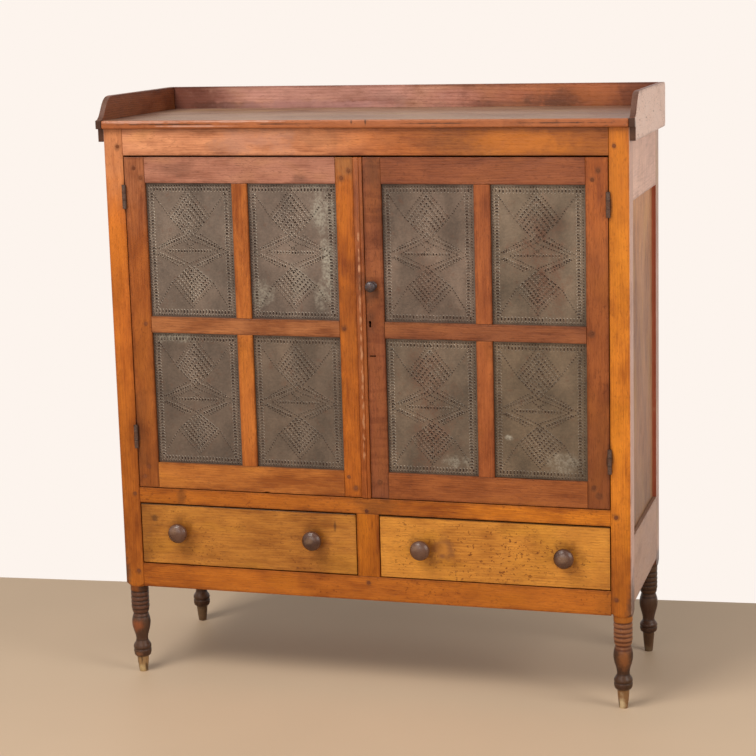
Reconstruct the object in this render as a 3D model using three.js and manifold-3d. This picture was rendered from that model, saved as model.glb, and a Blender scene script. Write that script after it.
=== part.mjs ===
// Pie safe: a pegged frame-and-panel cupboard on turned legs, with two doors glazed with
// punched tin sheets over two drawers, and a low gallery round its top.
// Millimetres, +X to the right, +Y to the back, +Z up. The origin is on the floor, below the
// middle of the whole piece.

import * as THREE from "three";
import { mergeVertices } from "three/addons/utils/BufferGeometryUtils.js";
import Module from "manifold-3d";

const wasm = await Module();
wasm.setup();

// Case
const caseWidth = 1320;
const caseDepth = 464;
const legHeight = 240;
const postSize = 49;
const bottomRailHeight = 62;
const drawerOpeningHeight = 162;
const middleRailHeight = 40;
const doorOpeningHeight = 851.5;
const topRailHeight = 66.5;
const frontRailThickness = 25;
const dividerWidth = 58;

// Clearance between two pieces that meet, and how far a cutting solid overruns its cut
const fit = 0.3;
const overrun = 5;

// Mortise and tenon joints of the case
const tenonThickness = 9;
const tenonInset = 8;
const tenonShoulder = 8;
const frontTenonLength = 30;
const sideTenonLength = 20;
const sideTenonShoulder = 13;

// Sides and back of the case
const sideRailThickness = 22;
const sideRailRise = 22;
const sideBottomRailHeight = 168;
const sideTopRailHeight = 177;
const panelThickness = 10;
const panelRecess = 10;
const grooveDepth = 8;
const backThickness = 12;
const backRebate = 10;
const backRise = 20;

// Boards that lie in the case: a lower tongue at each corner is let into a notch in the post
const housingDepth = 8;
const tongueDrop = 4;
const floorThickness = 18;
const shelfThickness = 18;
const shelfHeight = 416;
const bearerThickness = 12;
const guideHeight = 24;
const doorStopGap = 1;

// Top board and gallery
const topThickness = 20.5;
const topOverhang = 13;
const galleryRise = 58.5;
const galleryDrop = 32.5;
const galleryEndThickness = 14.7;
const galleryBackThickness = 19;
const galleryCurveLength = 66;
const galleryCorner = 15;

// Doors
const doorThickness = 22;
const doorTopGap = 4;
const doorBottomGap = 2;
const doorSideGap = 2;
const hingeStileWidth = 53.5;
const meetingStileWidth = 45;
const muntinWidth = 40;
const doorTopRailHeight = 64.5;
const doorMiddleRailHeight = 41;
const doorBottomRailHeight = 66;
const doorTenonThickness = 7;
const doorTenonLength = 32;
const doorTenonShoulder = 2;
const muntinTenonLength = 20;
const beadWidth = 23;
const beadGap = 1.5;
const beadProud = 3;

// Tin sheets, set in rebates from behind
const tinThickness = 0.9;
const tinDepth = 8;
const tinCover = 12;
const tinPlay = 0.6;

// Butt hinges
const barrelRadius = 5;
const pinRadius = 2;
const leafThickness = 0.7;
const leafLength = 60;
const leafReach = 18;
const leafClearance = 0.6;
const knuckleGap = 0.5;
// Heights of the hinges' middles above the bottom of the doors
const leftUpperHinge = 747;
const leftLowerHinge = 133;
const rightUpperHinge = 735;
const rightLowerHinge = 119;

// Door knob, keyhole and catch slot on the right door, heights from the bottom of the door
const doorKnobRadius = 15;
const doorKnobReach = 33;
const doorKnobShank = 4;
const doorKnobInset = 19;
const doorKnobHeight = 534;
const keyholeInset = 8.5;
const keyholeHeight = 442.6;
const keyholeRadius = 3.6;
const keyholeSlotWidth = 4.8;
const keyholeSlotLength = 13;
const catchInset = 14;
const catchHeight = 358.5;
const catchLength = 16;
const catchWidth = 3.5;
const catchDepth = 9;

// Drawers
const drawerSideGap = 2.5;
const drawerTopGap = 3;
const drawerBottomGap = 3;
const drawerFrontThickness = 22;
const drawerWall = 12;
const drawerBottomThickness = 7;
const drawerBottomRise = 10;
const drawerSideDrop = 5;
const drawerBackDrop = 4;
const drawerBackInset = 3;
const drawerGrooveDepth = 6;
const drawerRearGap = 10;
const tailLength = 14;
const tailHeight = 26;
const tailFlare = 5;
const tailCount = 3;
const drawerKnobRadius = 25;
const drawerKnobReach = 40;
const drawerKnobShank = 8;
const drawerKnobOffset = 180;
const leftKnobHeight = 89;
const rightKnobHeight = 80;

// Fineness of round work
const legSides = 16;
const knobSides = 16;
const barrelSides = 12;
const curveSteps = 8;

// Levels and planes that the sizes above give, measured from the floor and the case front
const bottomRailTop = legHeight + bottomRailHeight;
const middleRailBottom = bottomRailTop + drawerOpeningHeight;
const middleRailTop = middleRailBottom + middleRailHeight;
const topRailBottom = middleRailTop + doorOpeningHeight;
const postTop = topRailBottom + topRailHeight;
const topSurface = postTop + topThickness;
const galleryTop = topSurface + galleryRise;
const galleryBottom = postTop - galleryDrop;
const caseSide = caseWidth / 2;
const postInner = caseSide - postSize;
const rearPostFront = caseDepth - postSize;
const panelOuter = caseSide - panelRecess;
const panelInner = panelOuter - panelThickness;
const boardHalf = caseSide - sideRailThickness;
const backFront = caseDepth - backThickness;
const sideBottomRailBottom = legHeight + sideRailRise;
const sideBottomRailTop = sideBottomRailBottom + sideBottomRailHeight;
const sideTopRailBottom = postTop - sideTopRailHeight;
const shelfTop = middleRailTop + shelfHeight + shelfThickness;
const galleryRear = caseDepth + fit + galleryBackThickness;
const doorBottom = middleRailTop + doorBottomGap;
const doorTop = topRailBottom - doorTopGap;
const doorBottomRailTop = doorBottom + doorBottomRailHeight;
const doorTopRailLow = doorTop - doorTopRailHeight;
const sightHeight = (doorTopRailLow - doorBottomRailTop - doorMiddleRailHeight) / 2;
const doorMiddleRailLow = doorBottomRailTop + sightHeight;
const doorMiddleRailTop = doorMiddleRailLow + doorMiddleRailHeight;
const drawerBottom = bottomRailTop + drawerBottomGap;
const drawerTop = middleRailBottom - drawerTopGap;

// The case front lies this far behind the origin, so that the knobs and the gallery's back
// are equally far from it
const caseFront = (drawerKnobReach - galleryRear) / 2;

// Turned leg: radius as a share of half the post, height as a share of the leg
const legFootShares = [
  [0.478, 0],
  [0.6, 0.18],
  [0.82, 0.188],
  [0.915, 0.217],
  [0.935, 0.257],
  [0.905, 0.264],
  [0.93, 0.272],
  [0.905, 0.304],
  [0.64, 0.354],
  [0.635, 0.383],
  [0.81, 0.458],
  [0.945, 0.515],
  [0.98, 0.56],
  [0.9, 0.612],
  [0.835, 0.638],
  [0.85, 0.655],
];
const legRingCount = 5;
const legRingStartShare = 0.668;
const legRingEndShare = 0.934;
const legGrooveShare = 0.885;
const legRingShare = 0.965;
const legBandShare = 0.955;

// Drawer knob: radius as a share of the knob's, distance from the drawer front as a share of
// the knob's reach
const drawerKnobShares = [
  [0.52, 0],
  [0.5, 0.1],
  [0.44, 0.28],
  [0.6, 0.4],
  [0.9, 0.48],
  [1, 0.62],
  [0.97, 0.76],
  [0.8, 0.9],
  [0.62, 0.975],
  [0.3, 1],
];
const doorKnobShares = [
  [0.66, 0],
  [0.62, 0.08],
  [0.36, 0.16],
  [0.34, 0.36],
  [0.62, 0.48],
  [0.95, 0.6],
  [1, 0.72],
  [0.88, 0.86],
  [0.5, 0.97],
];

// Solids from three.js geometry

function solid(geometry) {
  geometry.deleteAttribute("normal");
  geometry.deleteAttribute("uv");
  const merged = mergeVertices(geometry);
  const corners = [];
  for (let i = 0; i < merged.index.count; i += 3) {
    const [a, b, c] = [0, 1, 2].map((k) => merged.index.getX(i + k));
    if (a !== b && b !== c && c !== a) corners.push(a, b, c);
  }
  const vertProperties = new Float32Array(merged.attributes.position.array);
  const triVerts = new Uint32Array(corners);
  return new wasm.Manifold(new wasm.Mesh({ numProp: 3, vertProperties, triVerts }));
}

// A block between two opposite corners, whose coordinates may come in either order
function block(xs, ys, zs) {
  const geometry = new THREE.BoxGeometry(1, 1, 1);
  const position = geometry.attributes.position;
  const low = [xs, ys, zs].map((pair) => Math.min(...pair));
  const high = [xs, ys, zs].map((pair) => Math.max(...pair));
  for (let i = 0; i < position.count; i += 1) {
    for (let k = 0; k < 3; k += 1) {
      const value = position.getComponent(i, k);
      position.setComponent(i, k, value < 0 ? low[k] : high[k]);
    }
  }
  return solid(geometry);
}

// A turning that stands on the floor, from points of radius and height
function turnedUpright(points, sides, x, y) {
  const profile = points.map(([radius, height]) => new THREE.Vector2(radius, height));
  const geometry = new THREE.LatheGeometry(profile, sides);
  geometry.rotateX(Math.PI / 2);
  geometry.translate(x, y, 0);
  return solid(geometry);
}

// A turning whose axis points forward, from points of radius and distance in front of a face
function turnedForward(points, sides, x, y, z) {
  const profile = points.map(([radius, height]) => new THREE.Vector2(radius, height));
  const geometry = new THREE.LatheGeometry(profile, sides);
  geometry.rotateX(Math.PI);
  geometry.translate(x, y, z);
  return solid(geometry);
}

function cylinderUpright(radius, low, high, x, y) {
  return turnedUpright([[0, low], [radius, low], [radius, high], [0, high]], barrelSides, x, y);
}

// A flat outline in Y and Z, given as a shape's x and y, extruded along X
function extrudedAcross(shape, xs) {
  const start = Math.min(...xs);
  const depth = Math.max(...xs) - start;
  const options = { depth, bevelEnabled: false, curveSegments: curveSteps };
  const geometry = new THREE.ExtrudeGeometry(shape, options);
  const turn = new THREE.Matrix4().set(0, 0, 1, start, 1, 0, 0, 0, 0, 1, 0, 0, 0, 0, 0, 1);
  geometry.applyMatrix4(turn);
  return solid(geometry);
}

function joined(...solids) {
  return solids.reduce((whole, piece) => whole.add(piece));
}

function cut(whole, ...tools) {
  return tools.reduce((rest, tool) => rest.subtract(tool), whole);
}

const pieSafe = new THREE.Group();
pieSafe.position.y = caseFront;

function place(name, shape, color, roughness = 0.6, metalness = 0) {
  const { vertProperties, triVerts } = shape.getMesh();
  const geometry = new THREE.BufferGeometry();
  geometry.setAttribute("position", new THREE.BufferAttribute(vertProperties, 3));
  geometry.setIndex(new THREE.BufferAttribute(triVerts, 1));
  const material = new THREE.MeshStandardMaterial({ color, roughness, metalness });
  const mesh = new THREE.Mesh(geometry, material);
  mesh.name = name;
  pieSafe.add(mesh);
}

const sides = [["left", -1], ["right", 1]];

// Colours of the woods and metals
const postColor = 0xbd6c2a;
const railColor = 0xba6428;
const sideColor = 0xa3866f;
const innerColor = 0x9a7450;
const doorColor = 0xa05a2c;
const drawerColor = 0xb97e3c;
const knobColor = 0x64463c;
const tinColor = 0x6e6658;
const ironColor = 0x463c37;

// Front rails: each has a tenon at both ends, let into the front posts

const frontRails = [
  ["front_bottom_rail", legHeight, bottomRailTop],
  ["front_middle_rail", middleRailBottom, middleRailTop],
  ["front_top_rail", topRailBottom, postTop],
];

function frontTenon(side, low, high, clearance) {
  const xs = [side * (postInner - overrun), side * (postInner + frontTenonLength + clearance)];
  const ys = [tenonInset - clearance, tenonInset + tenonThickness + clearance];
  const zs = [low + tenonShoulder - clearance, high - tenonShoulder + clearance];
  return block(xs, ys, zs);
}

function addFrontRails() {
  for (const [name, low, high] of frontRails) {
    const body = block([fit - postInner, postInner - fit], [0, frontRailThickness], [low, high]);
    const tenons = sides.map(([, side]) => frontTenon(side, low, high, 0));
    const rail = joined(body, ...tenons);
    const mortised = name === "front_top_rail" ? rail : cut(rail, dividerTenons(fit));
    place(name, mortised, railColor);
  }
}

// The divider between the drawers stands between the bottom and middle rails

function dividerTenons(clearance) {
  const half = dividerWidth / 2 - tenonShoulder + clearance;
  const reach = frontRailThickness - tenonInset;
  const ys = [tenonInset - clearance, tenonInset + tenonThickness + clearance];
  const low = bottomRailTop - reach - clearance;
  const high = middleRailBottom + reach + clearance;
  return block([-half, half], ys, [low, high]);
}

function addDivider() {
  const half = dividerWidth / 2;
  const zs = [bottomRailTop + fit, middleRailBottom - fit];
  const body = block([-half, half], [0, frontRailThickness], zs);
  place("drawer_divider", joined(body, dividerTenons(0)), railColor);
}

// Side rails: flush with the posts' outer faces, grooved for the panel

const sideRails = [
  ["side_bottom_rail", sideBottomRailBottom, sideBottomRailTop],
  ["side_top_rail", sideTopRailBottom, postTop],
];

function sideTenon(side, face, inward, low, high, clearance) {
  const middle = caseSide - tenonInset - tenonThickness / 2;
  const half = tenonThickness / 2 + clearance;
  const xs = [side * (middle - half), side * (middle + half)];
  const ys = [face - inward * overrun, face + inward * (sideTenonLength + clearance)];
  const zs = [low + sideTenonShoulder - clearance, high - sideTenonShoulder + clearance];
  return block(xs, ys, zs);
}

// The panel's own block, and with a clearance the groove that it lies in
function sidePanel(side, clearance) {
  const xs = [side * (panelInner - clearance), side * (panelOuter + clearance)];
  const reach = grooveDepth - fit + clearance;
  const ys = [postSize - reach, rearPostFront + reach];
  const zs = [sideBottomRailTop - reach, sideTopRailBottom + reach];
  return block(xs, ys, zs);
}

function addSides() {
  for (const [sideName, side] of sides) {
    for (const [name, low, high] of sideRails) {
      const xs = [side * (caseSide - sideRailThickness), side * caseSide];
      const body = block(xs, [postSize + fit, rearPostFront - fit], [low, high]);
      const front = sideTenon(side, postSize, -1, low, high, 0);
      const rear = sideTenon(side, rearPostFront, 1, low, high, 0);
      const rail = cut(joined(body, front, rear), sidePanel(side, fit));
      place(`${sideName}_${name}`, rail, sideColor);
    }
    place(`${sideName}_side_panel`, sidePanel(side, 0), sideColor);
  }
}

// Boards that lie in the case: their corners are let into notches in the four posts

const bearerTop = bottomRailTop;
const floorTop = middleRailTop;
const boards = {
  bearer: [frontRailThickness, bearerTop - bearerThickness, bearerTop],
  floor: [frontRailThickness, floorTop - floorThickness, floorTop],
  shelf: [doorThickness + doorStopGap, shelfTop - shelfThickness, shelfTop],
};

// The part of a post that a board goes round, left standing inside its notch
function postCore(side, rear, clearance, low, high) {
  const xs = [side * (postInner + housingDepth - clearance), side * (caseSide + overrun)];
  const inner = rear ? rearPostFront + housingDepth : postSize - housingDepth;
  const outward = rear ? 1 : -1;
  const outer = rear ? caseDepth : 0;
  const ys = [inner - outward * clearance, outer + outward * overrun];
  return block(xs, ys, [low - overrun, high + overrun]);
}

// What is taken off the top of a board's corner, so that only its tongue enters the post
function tongueRelief(side, rear, high) {
  const xs = [side * (postInner - fit), side * (caseSide + overrun)];
  const ys = rear ? [rearPostFront - fit, caseDepth + overrun] : [-overrun, postSize + fit];
  return block(xs, ys, [high - tongueDrop, high + overrun]);
}

function lyingBoard([front, low, high]) {
  const half = boardHalf - fit;
  let board = block([-half, half], [front + fit, backFront - fit], [low, high]);
  for (const [, side] of sides) {
    for (const rear of [false, true]) {
      const core = postCore(side, rear, fit, low, high);
      board = cut(board, core, tongueRelief(side, rear, high));
    }
  }
  return board;
}

function boardNotch(side, rear, [front, low, high]) {
  const ys = rear ? [rearPostFront - overrun, caseDepth + overrun] : [front, postSize + overrun];
  const xs = [side * (postInner - overrun), side * boardHalf];
  const slot = block(xs, ys, [low - fit, high - tongueDrop + fit]);
  return cut(slot, postCore(side, rear, 0, low, high));
}

// The drawer bearer carries both drawers, with a guide beside each drawer side
function drawerBearer() {
  const guideZs = [bearerTop - overrun, bearerTop + guideHeight];
  const middleYs = [frontRailThickness + fit, backFront - fit];
  const middleGuide = block([-dividerWidth / 2, dividerWidth / 2], middleYs, guideZs);
  const outerGuides = sides.map(([, side]) =>
    block([side * postInner, side * (boardHalf - fit)], [postSize + fit, rearPostFront - fit], guideZs));
  return joined(lyingBoard(boards.bearer), middleGuide, ...outerGuides);
}

function addBoards() {
  place("drawer_bearer", drawerBearer(), innerColor);
  place("cupboard_floor", lyingBoard(boards.floor), innerColor);
  place("cupboard_shelf", lyingBoard(boards.shelf), innerColor);
}

// Back: boards joined to one panel, nailed into rebates in the rear posts

function backBlock(clearance) {
  const half = postInner + backRebate - fit + clearance;
  const ys = [backFront - clearance, caseDepth + clearance];
  return block([-half, half], ys, [legHeight + backRise - clearance, postTop + clearance]);
}

function addBack() {
  place("back_panel", backBlock(0), innerColor);
}

// Posts: square from the rails up, turned below as legs

function legProfile() {
  const half = postSize / 2;
  const points = [[0, 0]];
  for (const [radiusShare, heightShare] of legFootShares) {
    points.push([half * radiusShare, legHeight * heightShare]);
  }
  const pitchShare = (legRingEndShare - legRingStartShare) / legRingCount;
  for (let ring = 0; ring < legRingCount; ring += 1) {
    const base = legRingStartShare + ring * pitchShare;
    points.push([half * legGrooveShare, legHeight * base]);
    points.push([half * legRingShare, legHeight * (base + pitchShare / 4)]);
    points.push([half * legRingShare, legHeight * (base + pitchShare * 3 / 4)]);
  }
  points.push([half * legGrooveShare, legHeight * legRingEndShare]);
  points.push([half * legBandShare, legHeight * (legRingEndShare + pitchShare / 4)]);
  points.push([half * legBandShare, legHeight + overrun]);
  points.push([0, legHeight + overrun]);
  return points;
}

function post(side, rear) {
  const near = rear ? rearPostFront : 0;
  const xs = [side * postInner, side * caseSide];
  const square = block(xs, [near, near + postSize], [legHeight, postTop]);
  const middleX = side * (caseSide - postSize / 2);
  const leg = turnedUpright(legProfile(), legSides, middleX, near + postSize / 2);
  const face = rear ? rearPostFront : postSize;
  const inward = rear ? 1 : -1;
  const cuts = Object.values(boards).map((board) => boardNotch(side, rear, board));
  cuts.push(sidePanel(side, fit));
  for (const [, low, high] of sideRails) {
    cuts.push(sideTenon(side, face, inward, low, high, fit));
  }
  if (rear) {
    cuts.push(backBlock(fit));
  } else {
    for (const [, low, high] of frontRails) cuts.push(frontTenon(side, low, high, fit));
  }
  return cut(joined(square, leg), ...cuts);
}

function addPosts() {
  for (const [sideName, side] of sides) {
    place(`front_${sideName}_post`, post(side, false), postColor);
    place(`rear_${sideName}_post`, post(side, true), sideColor);
  }
}

// Top board and gallery

function galleryEndShape() {
  const lip = topSurface + fit;
  const shape = new THREE.Shape();
  shape.moveTo(0, galleryBottom);
  shape.lineTo(0, postTop);
  shape.lineTo(-topOverhang, postTop);
  shape.lineTo(-topOverhang, lip);
  const bend = galleryCurveLength / 2 - topOverhang;
  shape.bezierCurveTo(bend, lip, bend, galleryTop, galleryCurveLength, galleryTop);
  shape.lineTo(galleryRear, galleryTop);
  shape.lineTo(galleryRear, galleryBottom + galleryCorner);
  shape.absarc(galleryRear - galleryCorner, galleryBottom + galleryCorner, galleryCorner, 0,
    -Math.PI / 2, true);
  return shape;
}

function addTop() {
  const topZs = [postTop + fit, topSurface];
  place("top_board", block([-caseSide, caseSide], [-topOverhang, caseDepth], topZs), railColor);
  const backYs = [caseDepth + fit, galleryRear];
  const back = block([-caseSide, caseSide], backYs, [galleryBottom, galleryTop]);
  place("gallery_back", back, doorColor);
  for (const [sideName, side] of sides) {
    const xs = [side * (caseSide + fit), side * (caseSide + galleryEndThickness)];
    place(`gallery_${sideName}_end`, extrudedAcross(galleryEndShape(), xs), sideColor);
  }
}

// Doors: each is laid out from its hinge edge towards the middle of the case. A distance along
// the door becomes an X on its own side of the case.

const openingHalf = postInner;
const doorWidth = (2 * openingHalf - 2 * doorSideGap - beadWidth - beadGap) / 2;
const sightWidth = (doorWidth - hingeStileWidth - meetingStileWidth - muntinWidth) / 2;
const doorRails = [
  ["bottom_rail", doorBottom, doorBottomRailTop],
  ["middle_rail", doorMiddleRailLow, doorMiddleRailTop],
  ["top_rail", doorTopRailLow, doorTop],
];
const muntinStart = hingeStileWidth + sightWidth;
const meetingStart = doorWidth - meetingStileWidth;
const sightStarts = [hingeStileWidth, muntinStart + muntinWidth];
const sightBottoms = [doorBottomRailTop, doorMiddleRailTop];

function across(side, from, to) {
  const edge = openingHalf - doorSideGap;
  return [side * (edge - from), side * (edge - to)];
}

// The rebate behind one sight, which the tin fills but for its play
function tinPocket(side, start, bottom) {
  const xs = across(side, start - tinCover, start + sightWidth + tinCover);
  const zs = [bottom - tinCover, bottom + sightHeight + tinCover];
  return block(xs, [tinDepth, doorThickness + overrun], zs);
}

function tinPockets(side) {
  return sightStarts.flatMap((start) =>
    sightBottoms.map((bottom) => tinPocket(side, start, bottom)));
}

function tinSheet(side, start, bottom) {
  const reach = tinCover - tinPlay;
  const xs = across(side, start - reach, start + sightWidth + reach);
  const front = tinDepth + fit;
  const zs = [bottom - reach, bottom + sightHeight + reach];
  return block(xs, [front, front + tinThickness], zs);
}

// Height of a rail's tenon: what the rebates leave of the rail, less a shoulder
function tenonLevels([name, low, high], clearance) {
  const below = name === "bottom_rail" ? 0 : tinCover;
  const above = name === "top_rail" ? 0 : tinCover;
  const trim = doorTenonShoulder - clearance;
  return [low + below + trim, high - above - trim];
}

function railTenons(side, rail, clearance) {
  const ys = [tinDepth - clearance, tinDepth + doorTenonThickness + clearance];
  const reach = doorTenonLength + clearance;
  const hinge = across(side, hingeStileWidth - reach, hingeStileWidth + overrun);
  const meeting = across(side, meetingStart - overrun, meetingStart + reach);
  const zs = tenonLevels(rail, clearance);
  return [block(hinge, ys, zs), block(meeting, ys, zs)];
}

function muntinTenons(side, clearance) {
  const trim = tinCover + doorTenonShoulder - clearance;
  const xs = across(side, muntinStart + trim, muntinStart + muntinWidth - trim);
  const ys = [tinDepth - clearance, tinDepth + doorTenonThickness + clearance];
  const reach = muntinTenonLength + clearance;
  return block(xs, ys, [doorBottomRailTop - reach, doorTopRailLow + reach]);
}

// The muntin runs through behind the middle rail, halved into it
function muntin(side) {
  const xs = across(side, muntinStart, muntinStart + muntinWidth);
  const zs = [doorBottomRailTop + fit, doorTopRailLow - fit];
  const body = joined(block(xs, [0, doorThickness], zs), muntinTenons(side, 0));
  const wideXs = across(side, muntinStart - overrun, muntinStart + muntinWidth + overrun);
  const lapZs = [doorMiddleRailLow - fit, doorMiddleRailTop + fit];
  const lap = block(wideXs, [-overrun, doorThickness / 2 + fit / 2], lapZs);
  return cut(body, lap, ...tinPockets(side));
}

function doorRail(side, rail) {
  const [name, low, high] = rail;
  const xs = across(side, hingeStileWidth + fit, meetingStart - fit);
  let body = joined(block(xs, [0, doorThickness], [low, high]), ...railTenons(side, rail, 0));
  body = cut(body, ...tinPockets(side));
  if (name !== "middle_rail") return cut(body, muntinTenons(side, fit));
  const lapXs = across(side, muntinStart - fit, muntinStart + muntinWidth + fit);
  const lapYs = [doorThickness / 2 - fit / 2, doorThickness + overrun];
  return cut(body, block(lapXs, lapYs, [low - overrun, high + overrun]));
}

function doorStile(side, from, to) {
  const body = block(across(side, from, to), [0, doorThickness], [doorBottom, doorTop]);
  const mortises = doorRails.flatMap((rail) => railTenons(side, rail, fit));
  return cut(body, ...mortises, ...tinPockets(side));
}

// Keyhole, catch slot and the hole for the knob's shank, in the right door's meeting stile
function meetingEdge(inset) {
  return across(1, doorWidth - inset, doorWidth - inset)[0];
}

function keyhole() {
  const x = meetingEdge(keyholeInset);
  const z = doorBottom + keyholeHeight;
  const depth = doorThickness + overrun;
  const profile = [[0, -depth], [keyholeRadius, -depth], [keyholeRadius, overrun], [0, overrun]];
  const round = turnedForward(profile, barrelSides, x, 0, z);
  const half = keyholeSlotWidth / 2;
  const slotZs = [z - keyholeSlotLength, z];
  return joined(round, block([x - half, x + half], [-overrun, depth], slotZs));
}

function catchSlot() {
  const x = meetingEdge(catchInset);
  const z = doorBottom + catchHeight;
  const half = catchWidth / 2;
  const xs = [x - catchLength / 2, x + catchLength / 2];
  return block(xs, [-overrun, catchDepth], [z - half, z + half]);
}

function shankHole(radius, x, z, thickness) {
  const hole = radius + fit;
  const depth = thickness + overrun;
  const profile = [[0, -depth], [hole, -depth], [hole, overrun], [0, overrun]];
  return turnedForward(profile, knobSides, x, 0, z);
}

// A knob with its shank, which passes through the wood behind it
function knob(shares, radius, reach, shank, x, z, thickness) {
  const points = [[0, -thickness], [shank, -thickness], [shank, fit]];
  for (const [radiusShare, reachShare] of shares) {
    points.push([radius * radiusShare, fit + (reach - fit) * reachShare]);
  }
  points.push([0, reach]);
  return turnedForward(points, knobSides, x, 0, z);
}

// A rounded bead on the left door's meeting edge covers the gap between the doors
function bead() {
  const [outer] = across(-1, doorWidth + fit, doorWidth);
  const inner = outer + beadWidth - fit;
  const xs = [outer, inner];
  const shape = new THREE.Shape();
  shape.moveTo(Math.min(...xs), doorThickness);
  shape.lineTo(Math.min(...xs), 0);
  const middle = (outer + inner) / 2;
  shape.quadraticCurveTo(Math.min(...xs), -beadProud, middle, -beadProud);
  shape.quadraticCurveTo(Math.max(...xs), -beadProud, Math.max(...xs), 0);
  shape.lineTo(Math.max(...xs), doorThickness);
  const depth = doorTop - doorBottom + doorBottomGap / 2;
  const options = { depth, bevelEnabled: false, curveSegments: curveSteps };
  const geometry = new THREE.ExtrudeGeometry(shape, options);
  geometry.translate(0, 0, doorBottom - doorBottomGap / 2);
  return solid(geometry);
}

function addDoor(sideName, side) {
  const door = `${sideName}_door`;
  place(`${door}_hinge_stile`, doorStile(side, 0, hingeStileWidth), doorColor);
  let meetingStile = doorStile(side, meetingStart, doorWidth);
  if (side > 0) {
    const x = meetingEdge(doorKnobInset);
    const knobZ = doorBottom + doorKnobHeight;
    const hole = shankHole(doorKnobShank, x, knobZ, doorThickness);
    meetingStile = cut(meetingStile, keyhole(), catchSlot(), hole);
    const knobSizes = [doorKnobRadius, doorKnobReach, doorKnobShank];
    const doorKnob = knob(doorKnobShares, ...knobSizes, x, knobZ, doorThickness);
    place(`${door}_knob`, doorKnob, ironColor, 0.45, 0.8);
  } else {
    place(`${door}_bead`, bead(), doorColor);
  }
  place(`${door}_meeting_stile`, meetingStile, doorColor);
  for (const rail of doorRails) place(`${door}_${rail[0]}`, doorRail(side, rail), doorColor);
  place(`${door}_muntin`, muntin(side), doorColor);
  const rows = ["lower", "upper"];
  const columns = ["outer", "inner"];
  sightStarts.forEach((start, column) => sightBottoms.forEach((bottom, row) => {
    const name = `${door}_${rows[row]}_${columns[column]}_tin`;
    place(name, tinSheet(side, start, bottom), tinColor, 0.5, 0.7);
  }));
}

// Butt hinges: the case leaf carries two knuckles and the pin, the door leaf the middle knuckle

const hingeX = openingHalf - doorSideGap / 2;
const hingeY = -(barrelRadius + fit);
const hingeHeights = {
  left: [["upper", leftUpperHinge], ["lower", leftLowerHinge]],
  right: [["upper", rightUpperHinge], ["lower", rightLowerHinge]],
};

function leafPlate(face, inward, low, high, knuckles) {
  const xs = [face, face + inward * leafThickness];
  const plate = block(xs, [hingeY + barrelRadius + leafClearance, leafReach], [low, high]);
  const tabs = knuckles.map(([from, to]) => {
    const ys = [hingeY, hingeY + barrelRadius + 2 * leafClearance];
    return block(xs, ys, [from + leafClearance, to - leafClearance]);
  });
  return joined(plate, ...tabs);
}

function addHinge(sideName, side, level, height) {
  const low = doorBottom + height - leafLength / 2;
  const high = doorBottom + height + leafLength / 2;
  const third = leafLength / 3;
  const x = side * hingeX;
  const caseKnuckles = [[low, low + third], [high - third, high]];
  const doorKnuckle = [low + third + knuckleGap, high - third - knuckleGap];
  const caseFace = side * (openingHalf - fit / 2);
  const caseLeaf = joined(
    leafPlate(caseFace, -side, low, high, caseKnuckles),
    ...caseKnuckles.map(([from, to]) => cylinderUpright(barrelRadius, from, to, x, hingeY)),
    cylinderUpright(pinRadius, low + leafClearance, high - leafClearance, x, hingeY),
  );
  const bore = cylinderUpright(pinRadius + fit, low, high, x, hingeY);
  const doorFace = side * (openingHalf - doorSideGap + fit / 2);
  const doorLeaf = cut(
    joined(
      leafPlate(doorFace, side, low, high, [doorKnuckle]),
      cylinderUpright(barrelRadius, ...doorKnuckle, x, hingeY),
    ),
    bore,
  );
  place(`${sideName}_${level}_hinge_case_leaf`, caseLeaf, ironColor, 0.6, 0.8);
  place(`${sideName}_${level}_hinge_door_leaf`, doorLeaf, ironColor, 0.6, 0.8);
}

// Drawers: a front with a dovetailed box behind it

const drawerInner = dividerWidth / 2 + drawerSideGap;
const drawerOuter = openingHalf - drawerSideGap;
const drawerBoxTop = drawerTop - drawerSideDrop;
const drawerBoxBottom = bearerTop + fit;
const drawerRear = backFront - drawerRearGap;

// The dovetails of both box sides, which fill sockets cut in the ends of the drawer front
function dovetails(side, clearance) {
  const span = drawerBoxTop - drawerBottom;
  const pitch = span / tailCount;
  const end = drawerFrontThickness - tailLength - clearance;
  const walls = [[drawerInner, drawerInner + drawerWall], [drawerOuter - drawerWall, drawerOuter]];
  const overruns = [[-1, 1], [-1, 1]].map(([a, b]) => [a * clearance, b * clearance]);
  const tails = [];
  walls.forEach(([from, to], wall) => {
    const xs = [side * (from + overruns[wall][0]), side * (to + overruns[wall][1])];
    for (let tail = 0; tail < tailCount; tail += 1) {
      const middle = drawerBottom + pitch * (tail + 1 / 2);
      const root = tailHeight / 2 + clearance;
      const tip = root + tailFlare / 2;
      const shape = new THREE.Shape();
      shape.moveTo(drawerFrontThickness + overrun, middle - root);
      shape.lineTo(drawerFrontThickness, middle - root);
      shape.lineTo(end, middle - tip);
      shape.lineTo(end, middle + tip);
      shape.lineTo(drawerFrontThickness, middle + root);
      shape.lineTo(drawerFrontThickness + overrun, middle + root);
      tails.push(extrudedAcross(shape, xs));
    }
  });
  return tails;
}

// The bottom lies in grooves in the sides, the back and the drawer front
function drawerBottomBoard(side, clearance) {
  const groove = drawerWall / 2 - clearance;
  const xs = [side * (drawerInner + groove), side * (drawerOuter - groove)];
  const front = drawerFrontThickness - drawerGrooveDepth - clearance;
  const ys = [front, drawerRear - drawerBackInset - drawerWall / 2];
  const low = drawerBottom + drawerBottomRise;
  return block(xs, ys, [low - clearance, low + drawerBottomThickness + clearance]);
}

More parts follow.
